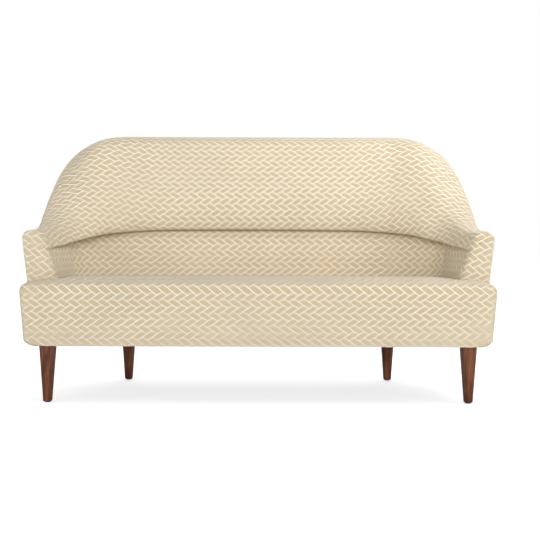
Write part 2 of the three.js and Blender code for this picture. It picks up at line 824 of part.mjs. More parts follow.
// Half the plan of the seat, from the middle of the front round the ear to the middle of the
// back. Each point has its inward direction and the height that the cover hangs down to.
function seatPlan() {
  const points = [];
  const add = (x, y, inX, inY, hem, wall = 0) => points.push({ x, y, inX, inY, hem, wall });
  const earBack = plan.armFrontDepth - clearance;
  const centreX = seatHalfWidth - seat.cornerRadius;
  seatFrontShares.forEach((share) => add(share * centreX, 0, 0, 1, shell.hemHeight));
  seatCornerShares.forEach((share) => {
    const turn = (share * Math.PI) / 2;
    add(
      centreX + seat.cornerRadius * Math.sin(turn), seat.cornerRadius * (1 - Math.cos(turn)),
      -Math.sin(turn), Math.cos(turn), shell.hemHeight,
    );
  });
  add(seatHalfWidth, mix(seat.cornerRadius, earBack, seatSideShare), -1, 0, shell.hemHeight);
  add(seatHalfWidth, earBack, -1, -1, shell.hemHeight);
  const { armFront } = bendShares;
  const armInset = (bend) => sizesAt(bend).lowerBottom + clearance;
  const notch = placeAt(armFront, [-armInset(armFront), 0]);
  seatWallShares.forEach(([share, inX]) => (
    add(mix(seatHalfWidth, notch.x, share), earBack, inX, -1, lower.hem, share)
  ));
  [...stationShares].reverse().forEach((bend) => {
    const path = pathAt(bend, 1);
    const place = placeAt(bend, [-armInset(bend), 0]);
    const turnIn = bend === armFront ? -1 : -path.outY;
    add(place.x, bend === armFront ? earBack : place.y, -path.outX, turnIn, lower.hem, 1);
  });
  return points;
}

// Both halves, running once round the seat from the middle of the front
function wholeSeatPlan() {
  const right = seatPlan();
  const left = right.slice(1, -1).reverse().map((point) => (
    { ...point, x: -point.x, inX: -point.inX }
  ));
  return [...right, ...left];
}

// How far down the drawn-in side a height lies
function tuckShare(point, height) {
  const widest = seat.topHeight - seat.edgeRadius;
  const share = Math.max(widest - height, 0) / (widest - shell.hemHeight);
  return point.wall > 0 ? 0 : share;
}

function crownHeight(x, y) {
  const side = 1 - Math.abs(x / seatHalfWidth) ** sideFallShare;
  return seat.topHeight + seat.crown * side * follow(seatCrownShares, y / seatBackDepth);
}

// A ring of the seat, moved in from the edge and down from the surface by a skin
function seatEdgeRing(inset, heightOf) {
  return wholeSeatPlan().map((point) => {
    const height = heightOf(point);
    const tuck = tuckShare(point, height);
    const x = point.x + point.inX * (inset + tuck * shell.hemTuck);
    const y = point.y + point.inY * inset + Math.max(point.inY, 0) * tuck * seat.frontTuck;
    return new THREE.Vector3(x, y, height);
  });
}

function seatCrownRing(skin, share) {
  const coreHalfWidth = seatHalfWidth - seat.coreSideInset;
  return wholeSeatPlan().map((point) => {
    const behind = Math.max(point.y - plan.armFrontDepth, 0) / (seatBackDepth - plan.armFrontDepth);
    const inEar = Math.min(point.y / plan.armFrontDepth, 1);
    const coreX = (point.x * coreHalfWidth) / seatHalfWidth;
    const ear = mix(mix(seat.coreFront, seat.coreEar, inEar), seat.coreNotch, point.wall);
    const coreY = mix(ear, seatCoreBack, behind);
    const x = mix(point.x + point.inX * seat.edgeRadius, coreX, share);
    const y = mix(point.y + point.inY * seat.edgeRadius, coreY, share);
    return new THREE.Vector3(x, y, crownHeight(x, y) - skin);
  });
}

function seatMiddle(skin) {
  const y = mix(seat.coreFront, seatCoreBack, seatMiddleShare);
  return new THREE.Vector3(0, y, crownHeight(0, y) - skin);
}

function seatRings(skin, hemOf) {
  const side = seat.topHeight - seat.edgeRadius;
  const rings = [
    seatEdgeRing(skin, hemOf),
    seatEdgeRing(skin, (point) => (hemOf(point) + side) / 2),
  ];
  seatEdgeShares.forEach(([inward, up]) => {
    const height = side + up * (seat.edgeRadius - skin);
    rings.push(seatEdgeRing(skin + inward * (seat.edgeRadius - skin), () => height));
  });
  return [...rings, ...seatRingShares.map((share) => seatCrownRing(skin, share))];
}

// The cover is an open-bottomed skin: its inner rings from the crown down to the hem, then its
// outer rings up again. The foam fills it down to the springs, with a lip over the front rail.
function buildSeat() {
  const inner = seatRings(coverThickness, (point) => point.hem).reverse();
  const outer = seatRings(0, (point) => point.hem);
  addPiece('seat_cover', joinDomes(
    [...inner, ...outer], inner.length, seatMiddle(coverThickness), seatMiddle(0),
  ), 'fabric');

  const skin = coverThickness + seat.foamGap;
  const foamRings = seatRings(skin, (point) => (
    point.inY > frontFacingShare ? rail.seatTop - seat.lipHeight : lower.hem
  ));
  const floor = seatCrownRing(skin, 1).map((point) => point.setZ(lower.hem));
  const rings = [...foamRings.reverse(), floor];
  const body = joinDomes(rings, rings.length, seatMiddle(skin), seatMiddle(skin).setZ(lower.hem));
  const wellHeight = insulatorTop + clearance;
  const wellFront = rail.frontDepth - clearance;
  const well = box(
    2 * (frontRailHalfWidth + clearance), plan.backDepth, wellHeight,
    0, wellFront + plan.backDepth / 2, 0,
  );
  addPiece('seat_foam', cut(body, [well]), 'foam');
}

// Legs, glides and hanger bolts

function chamferedSquare(width, chamfer) {
  const half = width / 2;
  const short = half - chamfer;
  return [
    [half, short], [short, half], [-short, half], [-half, short],
    [-half, -short], [-short, -half], [short, -half], [half, -short],
  ];
}

function lathe(profile, facetCount) {
  const points = profile.map(([radius, height]) => new THREE.Vector2(radius, height));
  return new THREE.LatheGeometry(points, facetCount).rotateX(Math.PI / 2);
}

function legGeometry() {
  const top = chamferedSquare(leg.topWidth, leg.topChamfer);
  const foot = chamferedSquare(leg.footWidth, leg.footChamfer);
  const footRing = foot.map(([x, y]) => new THREE.Vector3(x, y, leg.foot));
  const topRing = top.map(([x, y]) => new THREE.Vector3(x, y, leg.top));
  const blank = joinRings([footRing, topRing], foot, top, () => false);
  return cut(blank, [
    bore(bolt.radius + bolt.fit, 0, 0, leg.top - bolt.inLeg - clearance, bolt.inLeg + overrun),
    bore(glide.pinRadius + bolt.fit, 0, 0, leg.foot - overrun, overrun + glide.pinLength + clearance),
  ]);
}

function glideGeometry() {
  const seatHeight = leg.foot - clearance;
  return lathe([
    [0, 0], [glide.radius - glide.edge, 0], [glide.radius, glide.edge], [glide.radius, seatHeight],
    [glide.pinRadius, seatHeight], [glide.pinRadius, leg.foot + glide.pinLength - clearance],
    [0, leg.foot + glide.pinLength - clearance],
  ], facetCounts.glide);
}

function boltGeometry() {
  const low = leg.top - bolt.inLeg;
  const high = rail.bottom + bolt.inBlock;
  return lathe([
    [0, low], [bolt.radius - bolt.tip, low], [bolt.radius, low + bolt.tip],
    [bolt.radius, high - bolt.tip], [bolt.radius - bolt.tip, high], [0, high],
  ], facetCounts.bolt);
}

function buildLegs() {
  legPlaces.forEach(({ name, x, y }) => {
    addPiece(`leg_${name}`, legGeometry().translate(x, y, 0), 'walnut');
    addPiece(`glide_${name}`, glideGeometry().translate(x, y, 0), 'glide');
    addPiece(`hanger_bolt_${name}`, boltGeometry().translate(x, y, 0), 'steel');
  });
}

buildSeatFrame();
buildBackFrame();
buildBracing();
buildSprings();
buildLinings();
buildBackUpholstery();
buildSeat();
buildLegs();

settee.updateMatrixWorld(true);
const outerBox = new THREE.Box3().setFromObject(settee, true);
const middle = outerBox.getCenter(new THREE.Vector3());
settee.position.set(-middle.x, -middle.y, -outerBox.min.z);
settee.updateMatrixWorld(true);

export default settee;
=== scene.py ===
# High back settee: upholstery, padding and legs dressed over the settee's solids.
# Metres, +Z up, the settee faces -Y. The bend runs along the horseshoe of the back: 0 at its
# middle, 1 where the corner starts, 2 where it ends and 3 at the arm front, below 0 on the left.
import json
import math

import bmesh
import bpy
import numpy as np
from mathutils import Matrix, Vector


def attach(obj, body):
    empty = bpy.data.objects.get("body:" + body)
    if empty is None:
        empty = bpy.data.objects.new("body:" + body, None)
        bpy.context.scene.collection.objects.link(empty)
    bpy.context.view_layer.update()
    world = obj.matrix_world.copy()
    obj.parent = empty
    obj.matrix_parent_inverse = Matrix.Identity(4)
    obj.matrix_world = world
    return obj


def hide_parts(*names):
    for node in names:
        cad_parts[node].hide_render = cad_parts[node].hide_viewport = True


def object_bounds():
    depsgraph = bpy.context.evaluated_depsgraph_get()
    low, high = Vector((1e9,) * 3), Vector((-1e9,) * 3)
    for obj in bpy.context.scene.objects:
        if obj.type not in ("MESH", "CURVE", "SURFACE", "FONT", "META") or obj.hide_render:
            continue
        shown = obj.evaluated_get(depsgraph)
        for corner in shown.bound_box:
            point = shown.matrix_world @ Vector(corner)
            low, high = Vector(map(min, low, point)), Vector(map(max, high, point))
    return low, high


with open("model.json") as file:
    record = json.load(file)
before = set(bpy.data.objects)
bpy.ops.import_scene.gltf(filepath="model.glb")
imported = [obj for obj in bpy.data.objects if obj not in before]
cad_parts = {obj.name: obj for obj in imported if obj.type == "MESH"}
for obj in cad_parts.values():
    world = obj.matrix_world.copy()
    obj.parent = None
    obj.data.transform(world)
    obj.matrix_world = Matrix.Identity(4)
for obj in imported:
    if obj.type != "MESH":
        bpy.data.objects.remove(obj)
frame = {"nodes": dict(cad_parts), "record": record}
cadLow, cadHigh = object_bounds()
seatFront = cadLow.y                   # depths are measured back from the seat front
clearance = 0.0003                     # between pieces that meet
print("frame loaded:", len(frame["nodes"]), "nodes")

# Shader nodes

def newNode(tree, kind, **values):
    node = tree.nodes.new("ShaderNode" + kind)
    for name, value in values.items():
        setattr(node, name, value)
    return node


def sums(tree, operation, *values):
    node = newNode(tree, "Math", operation=operation)
    for socket, value in zip(node.inputs, values):
        if isinstance(value, (int, float)):
            socket.default_value = value
        else:
            tree.links.new(value, socket)
    return node.outputs[0]


def ramp(tree, value, low, high, toLow=0.0, toHigh=1.0):
    node = newNode(tree, "MapRange", interpolation_type="SMOOTHSTEP")
    tree.links.new(value, node.inputs["Value"])
    for name, number in (("From Min", low), ("From Max", high), ("To Min", toLow), ("To Max", toHigh)):
        node.inputs[name].default_value = number
    return node.outputs["Result"]


def blendColours(tree, share, a, b, kind="MIX"):
    node = newNode(tree, "Mix", data_type="RGBA", blend_type=kind)
    for socket, value in ((node.inputs[0], share), (node.inputs[6], a), (node.inputs[7], b)):
        if isinstance(value, (int, float)):
            socket.default_value = value
        elif isinstance(value, tuple):
            socket.default_value = (*value, 1)
        else:
            tree.links.new(value, socket)
    return node.outputs[2]


def newGroup(name, inputs, outputs):
    group = bpy.data.node_groups.new(name, "ShaderNodeTree")
    for label, kind in inputs:
        group.interface.new_socket(label, in_out="INPUT", socket_type="NodeSocket" + kind)
    for label, kind in outputs:
        group.interface.new_socket(label, in_out="OUTPUT", socket_type="NodeSocket" + kind)
    return group, group.nodes.new("NodeGroupInput"), group.nodes.new("NodeGroupOutput")


def addNoise(tree, place, scale, detail, distortion=0.0):
    noise = newNode(tree, "TexNoise")
    for name, value in (("Scale", scale), ("Detail", detail), ("Distortion", distortion)):
        noise.inputs[name].default_value = value
    tree.links.new(place, noise.inputs["Vector"])
    return noise.outputs["Fac"]


def newMaterial(name, roughness, metallic=0.0):
    material = bpy.data.materials.new(name)
    material.use_nodes = True
    shader = material.node_tree.nodes["Principled BSDF"]
    shader.inputs["Roughness"].default_value = roughness
    shader.inputs["Metallic"].default_value = metallic
    return material, material.node_tree, shader


def addBump(tree, shader, height, distance, strength=0.5):
    bump = newNode(tree, "Bump")
    bump.inputs["Distance"].default_value = distance
    bump.inputs["Strength"].default_value = strength
    tree.links.new(height, bump.inputs["Height"])
    tree.links.new(bump.outputs[0], shader.inputs["Normal"])


# Meshes

def addMesh(name, bm):
    mesh = bpy.data.meshes.new(name)
    bm.to_mesh(mesh)
    bm.free()
    piece = bpy.data.objects.new(name, mesh)
    bpy.context.scene.collection.objects.link(piece)
    return piece


def finishShading(bm, sharpAngle=50):
    for face in bm.faces:
        face.smooth = True
    for edge in bm.edges:
        if edge.is_boundary or edge.calc_face_angle(0) > math.radians(sharpAngle):
            edge.smooth = False


def dress(piece, material, slot, *nodes):
    piece.data.materials.append(material)
    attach(piece, "root")
    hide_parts(*nodes)
    return piece


def addCover(name, bm, node, sharpAngle=50):
    finishShading(bm, sharpAngle)
    return dress(addMesh(name, bm), finishes["cloth"], "upholstery", node)


# A grid whose columns and rows are laid out by a table of points, with its cloth map
def layGrid(points, clothMap):
    columns, rows = len(points) - 1, len(points[0]) - 1
    bm = bmesh.new()
    bmesh.ops.create_grid(bm, x_segments=columns, y_segments=rows, size=0.5)
    layer = bm.loops.layers.uv.new("clothMap")
    spot = {}
    for vert in bm.verts:
        spot[vert] = (round((vert.co.x + 0.5) * columns), round((vert.co.y + 0.5) * rows))
    for face in bm.faces:
        column = min(spot[vert][0] for vert in face.verts)
        for loop in face.loops:
            i, j = spot[loop.vert]
            loop[layer].uv = clothMap(i, j, column)
    for vert, (i, j) in spot.items():
        vert.co = points[i][j]
    bmesh.ops.reverse_faces(bm, faces=bm.faces)
    return bm


def weldPoints(bm, distance=1e-6):
    bmesh.ops.remove_doubles(bm, verts=bm.verts, dist=distance)


# Fills a hole in laid cloth, and maps the cloth of the new faces by their place
def fillHole(bm, edges, clothPlace):
    layer = bm.loops.layers.uv["clothMap"]
    for face in bmesh.ops.holes_fill(bm, edges=edges, sides=0)["faces"]:
        for loop in face.loops:
            loop[layer].uv = clothPlace(loop.vert.co)


def addThickness(piece, thickness):
    solid = piece.modifiers.new("cloth", "SOLIDIFY")
    solid.thickness = thickness
    solid.offset = -1


# Camera, floor and light

camera = {
    "distance": 4.0,                   # in front of the seat front
    "height": 0.655,
    "lens": 73.67,
    "shiftX": 0.0213,
    "shiftY": -0.0852,
    "roll": -0.2,
    "clipEnd": 60,
}
studio = {
    "skyLight": 0.31,                  # how much the sky lights the settee
    "floorSize": 14,
    "floorGrey": 0.92,
    "floorRoughness": 0.9,
    "floorGlow": 0.6,                  # lifts the floor towards white in the picture
}
# Distant lamps: the direction they stand in, how wide they look in degrees, and their strength
suns = {
    "front": ((0, -1, 0.08), 22, 1.35),
    "left": ((-1, -1.1, 0.25), 50, 0.83),
    "right": ((1, -1.1, 0.25), 50, 0.82),
    "behind": ((0.2, 1, 0.5), 60, 1.0),
}
softbox = {"place": (1.5, -0.3, 2.3), "target": (0.6, 0, 0.6), "size": 1.4, "power": 21}


def buildCamera():
    data = bpy.data.cameras.new("camera")
    data.lens = camera["lens"]
    data.shift_x = camera["shiftX"]
    data.shift_y = camera["shiftY"]
    data.clip_end = camera["clipEnd"]
    piece = bpy.data.objects.new("camera", data)
    piece.location = (0, seatFront - camera["distance"], camera["height"])
    level = Matrix.Rotation(math.radians(90), 4, "X")
    turned = Matrix.Rotation(math.radians(camera["roll"]), 4, "Y") @ level
    piece.rotation_euler = turned.to_euler()
    bpy.context.scene.collection.objects.link(piece)
    bpy.context.scene.camera = piece


def addLamp(name, kind, place, target, strength):
    data = bpy.data.lights.new(name, kind)
    data.energy = strength
    piece = bpy.data.objects.new(name, data)
    piece.location = place
    piece.rotation_euler = (Vector(target) - Vector(place)).to_track_quat("-Z", "Y").to_euler()
    bpy.context.scene.collection.objects.link(piece)
    return data


def buildStudio():
    bpy.context.scene.view_settings.view_transform = "Standard"
    world = bpy.data.worlds.new("studio")
    bpy.context.scene.world = world
    world.use_nodes = True
    tree = world.node_tree
    back = tree.nodes["Background"]
    back.inputs["Color"].default_value = (1, 1, 1, 1)
    path = newNode(tree, "LightPath")
    seen = sums(tree, "ADD", path.outputs["Is Camera Ray"], path.outputs["Is Glossy Ray"])
    seen.node.use_clamp = True
    level = newNode(tree, "MapRange")
    level.inputs["To Min"].default_value = studio["skyLight"]
    tree.links.new(seen, level.inputs["Value"])
    tree.links.new(level.outputs["Result"], back.inputs["Strength"])
    for name, (direction, width, strength) in suns.items():
        addLamp(name, "SUN", Vector(direction) * 4, (0, 0, 0), strength).angle = math.radians(width)
    lamp = addLamp("softbox", "AREA", softbox["place"], softbox["target"], softbox["power"])
    lamp.size = softbox["size"]

    bm = bmesh.new()
    bmesh.ops.create_grid(bm, x_segments=1, y_segments=1, size=studio["floorSize"])
    floor = addMesh("floor", bm)
    material, tree, shader = newMaterial("floor", studio["floorRoughness"])
    shader.inputs["Base Color"].default_value = (*[studio["floorGrey"]] * 3, 1)
    shader.inputs["Emission Color"].default_value = (1, 1, 1, 1)
    seen = newNode(tree, "LightPath").outputs["Is Camera Ray"]
    glow = sums(tree, "MULTIPLY", seen, studio["floorGlow"])
    tree.links.new(glow, shader.inputs["Emission Strength"])
    floor.data.materials.append(material)


# Padding: the cloth is held where it is tacked or sewn, and the filling swells it between. Only
# moves outwards are kept, and none goes further than the cap.

filling = {"pressure": 4, "steps": 20, "tension": 30, "bending": 2, "mass": 0.25, "quality": 6}


def swell(piece, held, cap):
    verts = piece.data.vertices
    normals = [vert.normal.copy() for vert in verts]
    group = piece.vertex_groups.new(name="held")
    for index, share in enumerate(held):
        group.add([index], share, "REPLACE")
    cloth = piece.modifiers.new("swell", "CLOTH")
    settings = cloth.settings
    settings.vertex_group_mass = "held"
    settings.quality = filling["quality"]
    settings.mass = filling["mass"]
    settings.tension_stiffness = filling["tension"]
    settings.compression_stiffness = filling["tension"]
    settings.bending_stiffness = filling["bending"]
    settings.use_pressure = True
    settings.uniform_pressure_force = filling["pressure"]
    settings.effector_weights.gravity = 0
    cloth.collision_settings.use_collision = False
    for step in range(1, filling["steps"] + 1):
        bpy.context.scene.frame_set(step)
    swollen = piece.evaluated_get(bpy.context.evaluated_depsgraph_get()).data
    moves = []
    for after, vert, normal in zip(swollen.vertices, verts, normals):
        moves.append(max((after.co - vert.co).dot(normal), 0))
    piece.modifiers.remove(cloth)
    piece.vertex_groups.remove(group)
    bpy.context.scene.frame_set(1)
    for vert, normal, move in zip(verts, normals, moves):
        vert.co += normal * math.tanh(move / cap) * cap
    print(piece.name, "swells by", round(max(moves), 4), "on average", round(sum(moves) / len(moves), 4))


# How firmly each point of a laid grid is held: wholly in its first and last rows and columns, and
# less and less over the rows and columns after them
def heldRows(points, first, last, ends, fade):
    columns, rows = len(points), len(points[0])
    held = []
    for j in range(rows):
        for i in range(columns):
            inside = min(j - first, rows - 1 - last - j, i - ends, columns - 1 - ends - i)
            held.append(1 - min(max(inside / fade, 0), 1))
    return held


# Curves and tables

def mix(a, b, share):
    return a + (b - a) * share


# Monotone cubic through a table of (position, value)
def follow(table, position):
    last = len(table) - 1
    at = min(max(position, table[0][0]), table[last][0])
    slopes = [(table[i + 1][1] - table[i][1]) / (table[i + 1][0] - table[i][0]) for i in range(last)]

    def tangent(i):
        if i in (0, last) or slopes[i - 1] * slopes[i] <= 0:
            return 0
        return 2 * slopes[i - 1] * slopes[i] / (slopes[i - 1] + slopes[i])

    i = max(k for k in range(last) if k == 0 or table[k][0] < at)
    width = table[i + 1][0] - table[i][0]
    t = (at - table[i][0]) / width
    rise = table[i + 1][1] - table[i][1]
    into = t * (1 - t) * (1 - t) * width * tangent(i)
    outOf = t * t * (t - 1) * width * tangent(i + 1)
    return table[i][1] + rise * t * t * (3 - 2 * t) + into + outOf


# A line of points rounded by a spline, with a number of steps for each stretch
def rounded(line, steps):
    points = [Vector(point) for point in line]
    out = []
    for i in range(len(points) - 1):
        a, b = points[i], points[i + 1]
        before = points[i - 1] if i > 0 else 2 * a - b
        after = points[i + 2] if i + 2 < len(points) else 2 * b - a
        span = (b - a).length
        leave = (b - before) * span / max((a - before).length + span, 1e-6)
        reach = (after - a) * span / max((after - b).length + span, 1e-6)
        for k in range(steps):
            t = k / steps
            out.append(
                a * (2 * t**3 - 3 * t**2 + 1) + leave * (t**3 - 2 * t**2 + t)
                + b * (3 * t**2 - 2 * t**3) + reach * (t**3 - t**2)
            )
    return out + [points[-1]]


def lengthsAlong(points):
    total = [0.0]
    for a, b in zip(points, points[1:]):
        total.append(total[-1] + (b - a).length)
    return total


# How steeply a table rises at a position
def slopeOf(table, position, reach=0.005):
    return (follow(table, position + reach) - follow(table, position - reach)) / (2 * reach)


# The horseshoe and its section, the same as the solids', but with a fuller shoulder on the lower pad

plan = {
    "armHalfWidth": 0.863, "backDepth": 0.712, "cornerRadius": 0.34, "armFrontDepth": 0.107,
    "facingWrap": 0.028,               # how far an arm facing runs back round its arm
    "facingGap": 0.0001,
}
shell = {
    "hemHeight": 0.2083, "kneeHeight": 0.434, "hemTuck": 0.018,
    "backLean": 0.025, "wingLean": -0.006, "armFlare": 0.021,
}
upper = {
    "backCrest": 1.018, "armCrest": 0.631, "backLip": 0.631, "armLip": 0.557,
    "backRoll": 0.253, "armRoll": 0.099, "backSeamDrop": 0.09, "armSeamDrop": 0.04,
    "backRailDrop": 0.062, "armRailDrop": 0.03,
}
lower = {
    "backTop": 0.18, "backBottom": 0.184, "armTop": 0.08, "armBottom": 0.112,
    "slopeHeight": 0.462, "hem": 0.352, "backShoulder": 0.03, "armShoulder": 0.006, "crown": 0.005,
}
tack = {"thickness": 0.018, "rise": 0.014, "postDepth": 0.0376}
hemTurn = {"lift": 0.0001, "round": 0.3}                   # cloth turned under at a hem
shoulderLine = [(0.62, 0), (0.22, 0.3), (0, 1)]            # in from the pad's face, down from its top
crestShares = [
    (0, 1), (1, 1), (1.17, 0.992), (1.33, 0.957), (1.5, 0.86), (1.67, 0.665),
    (1.83, 0.41), (2, 0.195), (2.27, 0.078), (2.65, 0.012), (3, 0),
]
rollShares = [
    (0, 1), (0.5, 1.013), (0.8, 1.045), (1, 1.09), (1.17, 1.074), (1.33, 1.003), (1.5, 0.902),
    (1.67, 0.786), (1.83, 0.669), (2, 0.4), (2.27, 0.13), (2.65, 0.02), (3, 0),
]
lipShares = [
    (0, 1), (0.75, 0.97), (1, 0.87), (1.5, 0.73), (1.83, 0.54), (2, 0.42),
    (2.27, 0.22), (2.65, 0.11), (3, 0),
]
lowerShares = [(0, 1), (1, 1), (1.5, 0.62), (2, 0.22), (3, 0)]
blendShares = [(0, 1), (1.6, 1), (2, 0.62), (2.27, 0.35), (2.65, 0.12), (3, 0)]
leanBackShares = [(0, 1), (1, 1), (1.5, 0.25), (2, 0), (3, 0)]
leanArmShares = [(0, 0), (2, 0), (2.5, 0.22), (2.8, 0.7), (3, 1)]
backRollShares = [
    (0.02, 0.885), (0.09, 0.955), (0.22, 0.99), (0.415, 1), (0.57, 0.955), (0.66, 0.88),
    (0.76, 0.73), (0.889, 0.488), (0.972, 0.36), (1, 0.23), (0.99, 0.08), (0.945, 0.013), (0.87, 0),
]
armRollShares = [
    (0.03, 0.68), (0.11, 0.855), (0.25, 0.97), (0.48, 1), (0.62, 0.985), (0.74, 0.94),
    (0.81, 0.84), (0.845, 0.68), (0.88, 0.52), (0.92, 0.34), (0.96, 0.18), (0.985, 0.07), (0.96, 0),
]
cornerX = plan["armHalfWidth"] - plan["cornerRadius"]
cornerDepth = plan["backDepth"] - plan["cornerRadius"]
cornerLength = plan["cornerRadius"] * math.pi / 2
armLength = cornerDepth - plan["armFrontDepth"]


# Point of the outline at a bend, with the outward direction
def pathAt(bend):
    side, bend = (-1 if bend < 0 else 1), abs(bend)
    if bend <= 1:
        return side * cornerX * bend, plan["backDepth"], 0, 1
    if bend <= 2:
        turn = (bend - 1) * math.pi / 2
        x = cornerX + plan["cornerRadius"] * math.sin(turn)
        depth = cornerDepth + plan["cornerRadius"] * math.cos(turn)
        return side * x, depth, side * math.sin(turn), math.cos(turn)
    return side * plan["armHalfWidth"], cornerDepth - (bend - 2) * armLength, side, 0


# Bend at a distance along the outline from the middle of the back
def bendAt(distance):
    side, far = (-1 if distance < 0 else 1), abs(distance)
    if far <= cornerX:
        return side * far / cornerX
    if far <= cornerX + cornerLength:
        return side * (1 + (far - cornerX) / cornerLength)
    return side * (2 + (far - cornerX - cornerLength) / armLength)


def distanceAt(bend):
    side, bend = (-1 if bend < 0 else 1), abs(bend)
    back, corner, arm = min(bend, 1), min(max(bend - 1, 0), 1), max(bend - 2, 0)
    return side * (back * cornerX + corner * cornerLength + arm * armLength)


def sizesAt(bend):
    bend = abs(bend)
    back = follow(blendShares, bend)
    sizes = {
        "back": back,
        "crest": mix(upper["armCrest"], upper["backCrest"], follow(crestShares, bend)),
        "lip": mix(upper["armLip"], upper["backLip"], follow(lipShares, bend)),
        "roll": mix(upper["armRoll"], upper["backRoll"], follow(rollShares, bend)),
        "lean": shell["wingLean"]
        + (shell["backLean"] - shell["wingLean"]) * follow(leanBackShares, bend)
        + (shell["armFlare"] - shell["wingLean"]) * follow(leanArmShares, bend),
        "lowerTop": mix(lower["armTop"], lower["backTop"], follow(lowerShares, bend)),
        "lowerBottom": mix(lower["armBottom"], lower["backBottom"], follow(lowerShares, bend)),
        "shoulder": mix(lower["armShoulder"], lower["backShoulder"], back),
    }
    sizes["seam"] = sizes["crest"] - mix(upper["armSeamDrop"], upper["backSeamDrop"], back)
    sizes["railTop"] = sizes["crest"] - mix(upper["armRailDrop"], upper["backRailDrop"], back)
    return sizes


def outsideAt(sizes, height):
    if height <= shell["kneeHeight"]:
        return -shell["hemTuck"] * (shell["kneeHeight"] - height) / (shell["kneeHeight"] - shell["hemHeight"])
    return sizes["lean"] * (height - shell["kneeHeight"]) / (sizes["crest"] - shell["kneeHeight"])


def postInnerAt(sizes, height):
    return outsideAt(sizes, height) - tack["postDepth"]


def tackInnerAt(sizes):
    ends = (sizes["lip"] - tack["rise"], sizes["lip"] + tack["rise"])
    return min(postInnerAt(sizes, height) for height in ends) - tack["thickness"] - clearance


def placeAt(bend, point):
    x, depth, outX, outY = pathAt(bend)
    return Vector((x + outX * point[0], seatFront + depth + outY * point[0], point[1]))


# From the outside seam over the crest and under the lip to the fold
def rollLine(sizes):
    line = [
        (outsideAt(sizes, sizes["seam"]), sizes["seam"]),
        (outsideAt(sizes, sizes["railTop"]), sizes["railTop"]),
    ]
    for inBack, inArm in zip(backRollShares, armRollShares):
        inward = mix(inArm[0], inBack[0], sizes["back"])
        up = mix(inArm[1], inBack[1], sizes["back"])
        line.append((sizes["lean"] - inward * sizes["roll"], mix(sizes["lip"], sizes["crest"], up)))
    return line + [(tackInnerAt(sizes) - clearance, sizes["lip"])]


# From the fold over the shoulder of the lower pad and down behind the seat
def lowerLine(sizes):
    top, shoulder = sizes["lip"] - 2 * clearance, sizes["shoulder"]
    face = -sizes["lowerTop"] - lower["crown"] * sizes["back"]
    foot = -sizes["lowerBottom"]
    return [
        (tackInnerAt(sizes) - clearance, top),
        *[(face + inward * shoulder, top - drop * shoulder) for inward, drop in shoulderLine],
        (mix(face, foot, 0.5), mix(top - shoulder, lower["slopeHeight"], 0.5)),
        (foot, lower["slopeHeight"]),
        (foot, lower["hem"]),
    ]


# The bends of the columns of a piece, evenly spaced along the outline
def bendsBetween(first, last, spacing):
    start, end = distanceAt(first), distanceAt(last)
    count = max(round(abs(end - start) / spacing), 2)
    return [bendAt(mix(start, end, i / count)) for i in range(count + 1)]


# Where the covers meet the arm facings, and where cloth at the arm front ends
coverFront = 3 - (plan["facingWrap"] + plan["facingGap"]) / armLength
armEnd = 3 - clearance / armLength

# Materials

palette = {
    "ochre": (0.28, 0.15, 0.02),
    "cream": (0.90, 0.82, 0.58),
    "white": (0.88, 0.875, 0.86),
    "walnutDark": (0.058, 0.016, 0.007),
    "walnutLight": (0.19, 0.066, 0.030),
}

weave = {
    "repeatWidth": 0.0366,
    "repeatHeight": 0.047,
    "phase": 1.0,
    "outline": 0.082,                  # half the white outline, as a share of a block's width
    "soft": 0.03,
    "stripeAt": 0.2,                   # the first stripe's middle, across the block
    "stripeSpacing": 0.3,
    "stripeEdge": (-0.4, 0.3),
    "patchScale": 5,
    "patchTone": (0.965, 1.02),
    "yarn": 0.0011,
    "yarnRise": 0.12,
    "stripeRise": 0.35,
    "outlineRise": 0.5,
}
clothSurface = {
    "Roughness": 0.85, "Specular IOR Level": 0.25, "Sheen Weight": 0.2, "Sheen Roughness": 0.5,
}
clothBump = 0.0006

# Finishes of two tones that follow one grain
grained = {
    "walnut": {
        "dark": palette["walnutDark"], "light": palette["walnutLight"], "roughness": 0.5,
        "specular": 0.22, "stretch": (38, 38, 2.2), "scale": 1.6, "detail": 7, "distortion": 0.6,
        "span": (0.32, 0.68), "depth": 0.0004, "strength": 0.3,
    },
    "rawWood": {
        "dark": (0.50, 0.33, 0.18), "light": (0.66, 0.47, 0.28), "roughness": 0.75,
        "stretch": (3, 30, 30), "scale": 2.0, "detail": 6, "span": (0.35, 0.65),
        "depth": 0.0005, "strength": 0.3,
    },
    "foam": {
        "dark": (0.78, 0.70, 0.45), "light": (0.86, 0.80, 0.58), "roughness": 0.95,
        "scale": 220.0, "depth": 0.001,
    },
    "lining": {
        "dark": (0.010, 0.010, 0.011), "light": (0.024, 0.024, 0.026), "roughness": 0.9,
        "scale": 400.0,
    },
    "steel": {
        "dark": (0.42, 0.43, 0.44), "light": (0.60, 0.60, 0.61), "roughness": 0.32,
        "metallic": 1.0, "scale": 90.0,
    },
    "glide": {"dark": (0.008, 0.008, 0.008), "light": (0.016, 0.016, 0.016), "roughness": 0.5},
}


